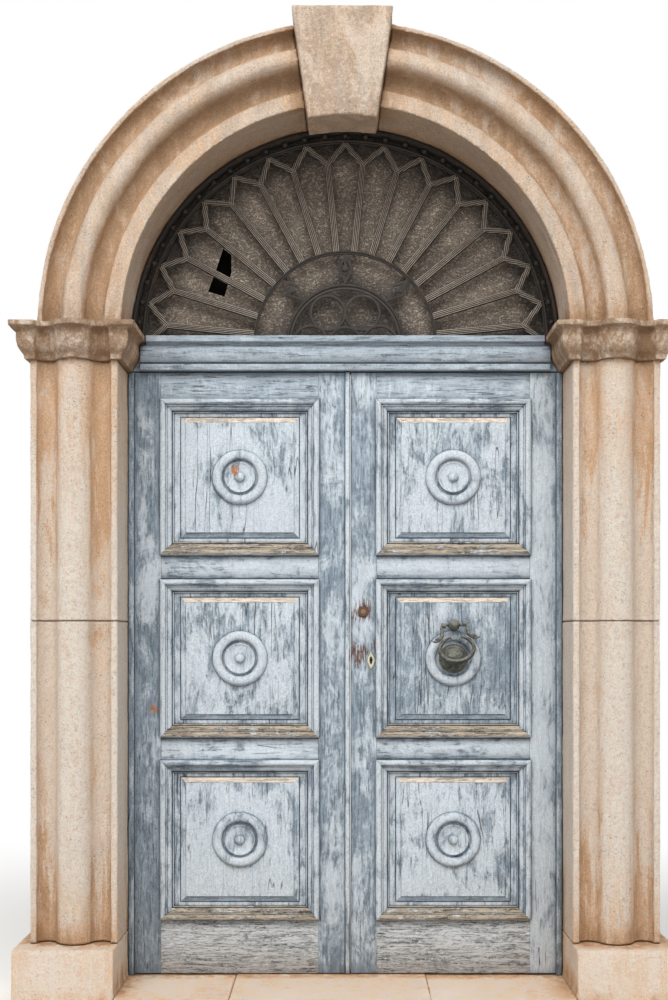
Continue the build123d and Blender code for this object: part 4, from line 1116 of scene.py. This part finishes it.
class DOOR_OT_grille(bpy.types.Operator):
    """Forges the iron fanlight"""

    bl_idname = "door.grille"
    bl_label = "Forge the fanlight"

    def execute(self, context):
        look = context.scene.door_iron
        bar_iron = iron("grille_iron_bars", look, 1.0)
        ring_iron = iron("grille_iron_rings", look, 0.75)
        dark_iron = iron("grille_iron_frame", look, 0.5)

        def spokes(work):
            for i in range(SPOKES):
                spoke_bars(work, math.pi / SPOKES * (i + 0.5), look)

        def rings(work):
            for (inner, outer), bead in ((OUTER_RING, 0.0045), (MIDDLE_RING, 0.004), (INNER_RING, 0.005)):
                half_ring(work, ring_profile(inner, outer, bead))

        for node, build, material in (
            ("grille_spokes", spokes, bar_iron),
            ("grille_rings", rings, ring_iron),
            ("grille_frame", self.frame_bar, dark_iron),
        ):
            stand_in(node + "_forged", node, from_parts(node, build), material)
        for node in ("grille_ornaments", "grille_rosace"):
            planed(node, ring_iron, ORNAMENT_ARRIS)
        give(NODES["fanlight_glass"], pebbled("pebbled_glass", look))
        return {"FINISHED"}

    def frame_bar(self, work):
        """The flat bar round the opening, with its row of studs"""
        low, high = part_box("grille_frame")
        inner, outer = ARCH_R - 0.014, ARCH_R - 0.0008
        half_ring(work, [(inner, high.y), (inner, low.y + 0.003), (inner + 0.002, low.y),
                         (outer - 0.0022, low.y), (outer, low.y + 0.003), (outer, high.y)])
        for x, z in arc((0.0, ARCH_Z), inner - 0.0085, 0, 180, STUDS - 1):
            if z >= SPRING_Z + 0.010:
                ball(work, Vector((x, low.y + 0.0098, z)), 0.0096, sides=18, rings=12)


# Knocker and lock

# The knocker's ring: half its width and height, how far its centre hangs below the pin, and how
# far it leans out from the door.
RING_HALF = (0.0592, 0.0435)
RING_DROP = 0.0840
RING_OUT = math.radians(8)
BLACK_BRONZE = "161613"
KEYHOLE_SHADE_BLACK = "14110E"
FITTING_ARRIS = 0.0006


def bronze(name, look, rubbed=0.5):
    """Dark green patina, rubbed to grey metal on the high spots, with a painted highlight on upward faces.
    """
    f = Finish(name)
    p = f.place()
    mottle = f.noise(p, 120, 5, 0.7)
    patch = f.noise(p, 38, 4, 0.6)
    open_face = f.shelter(0.015)
    nz = f.upward()
    # Partly rubbed wear, partly painted highlight: upward faces get more of the rubbed colour.
    high = (open_face * 0.3 + mottle * 0.7 + patch * 0.3 + nz * 0.25 - 0.66).rise(0.0, 0.35)
    f.colour = f.mix(high * rubbed, look.bronze, look.rubbed)
    f.lay(look.patina, patch.rise(0.50, 0.62) * 0.5)
    f.lay(rgb(BLACK_BRONZE), (0.85 - open_face).rise(0.0, 0.4) * 0.85)
    f.shade((mottle - 0.5) * 1.4 + 1.0)
    return f.surface(0.5, f.relief(mottle + patch * 0.4, 0.0007, 1.0), metallic=0.1, specular=0.4)


def metal(name, colour, rough, metallic, spot_colour, spots=0.5):
    """Plain metal with spots of rust or tarnish."""
    f = Finish(name)
    p = f.place()
    mottle = f.noise(p, 210, 5, 0.7)
    patch = f.noise(p, 46, 4, 0.65)
    tarnish = (patch * 0.6 + mottle * 0.4).rise(0.62 - spots * 0.25, 0.8 - spots * 0.25)
    f.colour = f.mix(tarnish, colour, spot_colour)
    return f.surface(rough, f.relief(mottle, 0.0005, 0.7), metallic=metallic)


def smooth_path(points, steps):
    """Points along a smooth curve through the given points."""
    spots = [Vector(p) for p in points]
    ends = [spots[0] * 2 - spots[1], *spots, spots[-1] * 2 - spots[-2]]
    path = []
    for a, b, c, d in zip(ends, ends[1:], ends[2:], ends[3:]):
        for i in range(steps):
            t = i / steps
            path.append(0.5 * ((2 * b) + (c - a) * t + (2 * a - 5 * b + 4 * c - d) * t * t
                               + (3 * b - a - 3 * c + d) * t**3))
    return path + [spots[-1]]


class DOOR_OT_knocker(bpy.types.Operator):
    """Casts the knocker: boss and pin, ring with scrolled arms, striking plate"""

    bl_idname = "door.knocker"
    bl_label = "Cast the knocker"

    def execute(self, context):
        look = context.scene.door_fittings
        low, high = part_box("knocker_mount")
        pin = Vector(((low.x + high.x) / 2, low.y + 0.021, high.z - 0.021))
        depth = high.y - pin.y
        reach = (high.x - low.x) / 2
        front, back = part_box("knocker_striker")
        foot = Vector(((front.x + back.x) / 2, back.y, (front.z + back.z) / 2))
        rise = back.y - front.y

        def mount(work):
            """Ball, stem and cross pin with its knobs"""
            boss = [(0.0, -0.0205), *arc((0.0, 0.0), 0.0205, -80, 80, 18), (0.0, 0.0205)]
            turn_profile(work, boss, pin, 40)
            stem = [(0.0, -depth), (0.016, -depth), (0.016, 0.004 - depth), (0.010, 0.008 - depth)]
            turn_profile(work, [*stem, (0.0095, 0.0)], pin, 32)
            across = Vector((1, 0, 0))
            spots = [pin + across * reach * (i / 6 - 1) for i in range(13)]
            tube(work, spots, round_section(0.0049))
            for side in (-1, 1):
                ball(work, pin + across * side * (reach - 0.0045), 0.0068, (0.66, 1, 1))

        def striker(work):
            """A low dome with fine steps"""
            profile = [(0.0515, 0.0), (0.0515, 0.003), (0.0495, 0.0052), (0.046, 0.005), (0.044, 0.0068),
                       (0.0415, 0.0088), (0.038, 0.0092), (0.0355, 0.0125), (0.031, 0.0165), (0.026, 0.0195),
                       (0.0245, 0.0215), (0.018, 0.0245), (0.010, rise - 0.0012), (0.0, rise)]
            turn_profile(work, profile, foot, 64)

        hoop = from_parts("knocker_ring", self.ring)
        lean = Matrix.Rotation(-RING_OUT, 4, "X") @ Matrix.Rotation(-look.lean, 4, "Y")
        hoop.transform(Matrix.Translation(pin) @ lean)
        material = bronze("knocker_bronze", look, 0.45)
        stand_in("knocker_boss", "knocker_mount", from_parts("knocker_boss", mount), material)
        plate = from_parts("striking_plate", striker)
        stand_in("striking_plate", "knocker_striker", plate, bronze("striker_bronze", look, 0.45))
        stand_in("knocker_hoop", "knocker_ring", hoop, material)
        return {"FINISHED"}

    def ring(self, work):
        """The ring with its curled ends, eyes, scrolled arms and nub, round a pin at the origin"""
        centre = (0.0, -RING_DROP)
        spots = [Vector((x, 0, z)) for x, z in arc(centre, RING_HALF[0], 108, 432, 80, RING_HALF[1])]
        curls = [(0.006, -0.002, -0.010), (0.003, -0.001, -0.004)]
        start = [spots[0] + Vector((x, y, z)) for x, y, z in curls]
        end = [spots[-1] + Vector((-x, y, z)) for x, y, z in curls[::-1]]

        def swell(share):
            """The ring's thickness, which tapers at both ends"""
            return (0.0056 + 0.0020 * math.sin(math.pi * share)) * min(1.0, 0.35 + 6 * min(share, 1 - share))

        def blade(share):
            return 0.0014 + 0.0052 * math.sin(math.pi * min(0.97, 0.12 + 0.85 * share)) ** 0.8

        def lobe(share):
            """The thickness of the leaf along the arm"""
            return 0.0008 + 0.0056 * math.sin(math.pi * share)

        tube(work, [*start, *spots, *end], round_section(swell, 20))
        arm = [(0.040, -0.001, 0.006), (0.044, -0.003, -0.006), (0.045, -0.005, -0.022),
               (0.047, -0.007, -0.036), (0.056, -0.008, -0.047), (0.069, -0.008, -0.053),
               (0.082, -0.005, -0.051)]
        leaf = [(0.048, -0.009, -0.037), (0.060, -0.011, -0.044), (0.074, -0.009, -0.047)]
        for side in (-1, 1):
            eye = [Vector((side * 0.036 - 0.0065 + 0.013 * i / 6, 0, 0)) for i in range(7)]
            tube(work, eye, round_section(0.0088, 24))
            tube(work, smooth_path([(side * x, y, z) for x, y, z in arm], 9), round_section(blade, 16, 0.8))
            tube(work, smooth_path([(side * x, y, z) for x, y, z in leaf], 10), round_section(lobe, 12, 0.6))
        nub = Vector((0.0, 0.0, -RING_DROP - RING_HALF[1]))
        ball(work, nub, 0.0098, (1.1, 0.9, 0.8), 20, 12)


class DOOR_OT_fittings(bpy.types.Operator):
    """Finishes the lock, its plate, the hinges and the bolts"""

    bl_idname = "door.fittings"
    bl_label = "Fit the locks and hinges"

    def execute(self, context):
        look = context.scene.door_fittings
        rusty = metal("rusty_lock", rgb("5A4636"), 0.6, 0.5, look.rust, 0.7)
        plug = metal("lock_plug_metal", rgb("8E7A60"), 0.45, 0.8, rgb("4B3626"), 0.5)
        forged = metal("forged_iron", rgb("3A3733"), 0.6, 0.6, rgb("5A4232"), 0.45)
        steel = metal("lock_steel", rgb("4A4C4E"), 0.5, 0.7, rgb("5A4A3C"), 0.35)
        looks = (
            (rusty, ("lock_cylinder",)),
            (plug, ("lock_plug",)),
            (self.keyhole_plate(look), ("escutcheon",)),
            (forged, ("left_hinge_straps", "right_hinge_straps", "hinge_pintles", "top_shoot_bolt",
                      "bottom_shoot_bolt")),
            (steel, ("lock_cases", "upper_lock_bolt", "lower_lock_bolt", "keeps_and_guides")),
        )
        for material, nodes in looks:
            for node in nodes:
                planed(node, material, FITTING_ARRIS)
        return {"FINISHED"}

    def keyhole_plate(self, look):
        """Pale brass, dirty towards its edge, with black painted in and around the keyhole as the shade of
        its dark inside.
        """
        f = Finish("pale_brass")
        p = f.place()
        centre = centre_of("escutcheon")
        spot = f.stretch(p, (1, 0, 0.42), (-centre.x, 0, -centre.z * 0.42))
        far = f.length(spot)
        mottle = f.noise(p, 260, 4, 0.7)
        f.colour = f.mix((mottle + far * 24).rise(0.62, 0.98), look.brass, look.patina)
        # Painted shade: a black keyhole shape for the keyhole's dark inside.
        keyhole_shade = (0.0062 - far + (mottle - 0.5) * 0.004).rise(0.0, 0.0012)
        f.lay(rgb(KEYHOLE_SHADE_BLACK), keyhole_shade)
        return f.surface(0.55, f.relief(mottle, 0.0005, 0.8), metallic=0.2)


# Stage

WHITE = (1, 1, 1, 1)
FLOOR_REACH = 40.0
LAMP_PLACE = (-0.9, -6.8, 9.8)
LAMP_AIM = (0.0, 0.0, 1.5)
LAMP_SIZE = (11.0, 5.5)
SENSOR = 36.0


class DOOR_OT_stage(bpy.types.Operator):
    """Sets the floor, the light and the camera"""

    bl_idname = "door.stage"
    bl_label = "Set the stage"

    def execute(self, context):
        look = context.scene.door_stage
        self.floor()
        self.dark_room()
        self.light(look)
        self.camera(look)
        return {"FINISHED"}

    def plane(self, name, corners, material):
        """A flat face of the stage"""
        mesh = bpy.data.meshes.new(name)
        mesh.from_pydata(corners, [], [tuple(range(len(corners)))])
        made = add_object(name, mesh)
        give(made, material)
        return made

    def floor(self):
        """A pale floor that fades into the white backdrop"""
        f = Finish("pale_floor")
        x, y = f.parts(f.place())[:2]
        far = ((x * x + y * y) ** 0.5).rise(1.5, 4.5)
        seen = f.node("ShaderNodeLightPath", output="Is Camera Ray")
        stone = f.node("ShaderNodeBsdfDiffuse", None, {"Color": rgb("EDEBE8")})
        white = f.node("ShaderNodeEmission", None, {"Color": WHITE, "Strength": 1.0})
        material = f.end(f.node("ShaderNodeMixShader", None, {0: far * seen, 1: stone, 2: white}))
        r = FLOOR_REACH
        self.plane("floor", [(-r, -r, 0), (r, -r, 0), (r, r, 0), (-r, r, 0)], material)

    def dark_room(self):
        """A black sheet behind the fanlight, painted shade that stands for the unlit room seen from the
        street through the broken pane.

        It takes no light and can't be seen from the room side."""
        f = Finish("unlit_room")
        behind = f.node("ShaderNodeNewGeometry", output="Backfacing")
        black = f.node("ShaderNodeBsdfDiffuse", None, {"Color": rgb("0A0908")})
        clear = f.node("ShaderNodeBsdfTransparent")
        material = f.end(f.node("ShaderNodeMixShader", None, {0: behind, 1: black, 2: clear}))
        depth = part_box("fanlight_sash")[1].y + 0.004
        radius = ARCH_R - 0.004
        low = math.degrees(math.asin((SPRING_Z - ARCH_Z) / radius))
        outline = arc((0.0, ARCH_Z), radius, low, 180 - low, 48)
        dark = self.plane("dark_room", [(x, depth, z) for x, z in outline], material)
        for ray in ("diffuse", "glossy", "transmission", "shadow"):
            setattr(dark, "visible_" + ray, False)

    def light(self, look):
        """Soft light from all round, seen as white, and one large lamp high in front"""
        f = Finish("overcast", "worlds")
        rays = ("Camera", "Glossy", "Transmission")
        camera, glossy, clear = [f.node("ShaderNodeLightPath", output=f"Is {ray} Ray") for ray in rays]
        seen = camera.math("MAXIMUM", glossy).math("MAXIMUM", clear)
        lit, white = [
            f.node("ShaderNodeBackground", None, {"Color": WHITE, "Strength": strength})
            for strength in (look.sky, 1.0)
        ]
        mixed = f.node("ShaderNodeMixShader", None, {0: seen, 1: lit, 2: white})
        bpy.context.scene.world = f.end(mixed, "ShaderNodeOutputWorld")
        lamp = bpy.data.lights.new("window_light", "AREA")
        lamp.shape = "RECTANGLE"
        lamp.size, lamp.size_y = LAMP_SIZE
        lamp.energy = look.lamp
        made = add_object("window_light", lamp)
        made.location = LAMP_PLACE
        made.rotation_euler = (Vector(LAMP_AIM) - Vector(LAMP_PLACE)).to_track_quat("-Z", "Y").to_euler()

    def camera(self, look):
        """A level camera on the street side"""
        data = bpy.data.cameras.new("camera")
        data.lens = look.lens
        data.sensor_width = SENSOR
        data.shift_x, data.shift_y = look.shift
        data.clip_end = 100
        camera = add_object("camera", data)
        camera.location = look.eye
        camera.rotation_euler = (math.radians(90), 0, 0)
        bpy.context.scene.camera = camera
        bpy.context.scene.view_settings.view_transform = "Standard"


class DOOR_PT_panel(bpy.types.Panel):
    """Lists the steps that dress the door"""

    bl_label = "Arched door"
    bl_idname = "DOOR_PT_panel"
    bl_space_type = "VIEW_3D"
    bl_region_type = "UI"
    bl_category = "Door"

    def draw(self, context):
        for step in STEPS:
            self.layout.operator(step.bl_idname)


LOOKS = {
    "door_stone": StoneLook,
    "door_paint": PaintLook,
    "door_iron": IronLook,
    "door_fittings": FittingLook,
    "door_stage": StageLook,
}
STEPS = (
    DOOR_OT_stone, DOOR_OT_timber, DOOR_OT_panels, DOOR_OT_rosettes, DOOR_OT_grille, DOOR_OT_knocker,
    DOOR_OT_fittings, DOOR_OT_stage,
)


def register():
    """Adds the looks, the steps and the panel to Blender."""
    for made in (*LOOKS.values(), *STEPS, DOOR_PT_panel):
        bpy.utils.register_class(made)
    for name, look in LOOKS.items():
        setattr(bpy.types.Scene, name, PointerProperty(type=look))


def unregister():
    """Takes them out again."""
    for name in LOOKS:
        delattr(bpy.types.Scene, name)
    for made in reversed((*LOOKS.values(), *STEPS, DOOR_PT_panel)):
        bpy.utils.unregister_class(made)


def main():
    """Dresses the door step by step."""
    register()
    for step in STEPS:
        group, word = step.bl_idname.split(".")
        getattr(getattr(bpy.ops, group), word)()


if __name__ == "__main__":
    main()
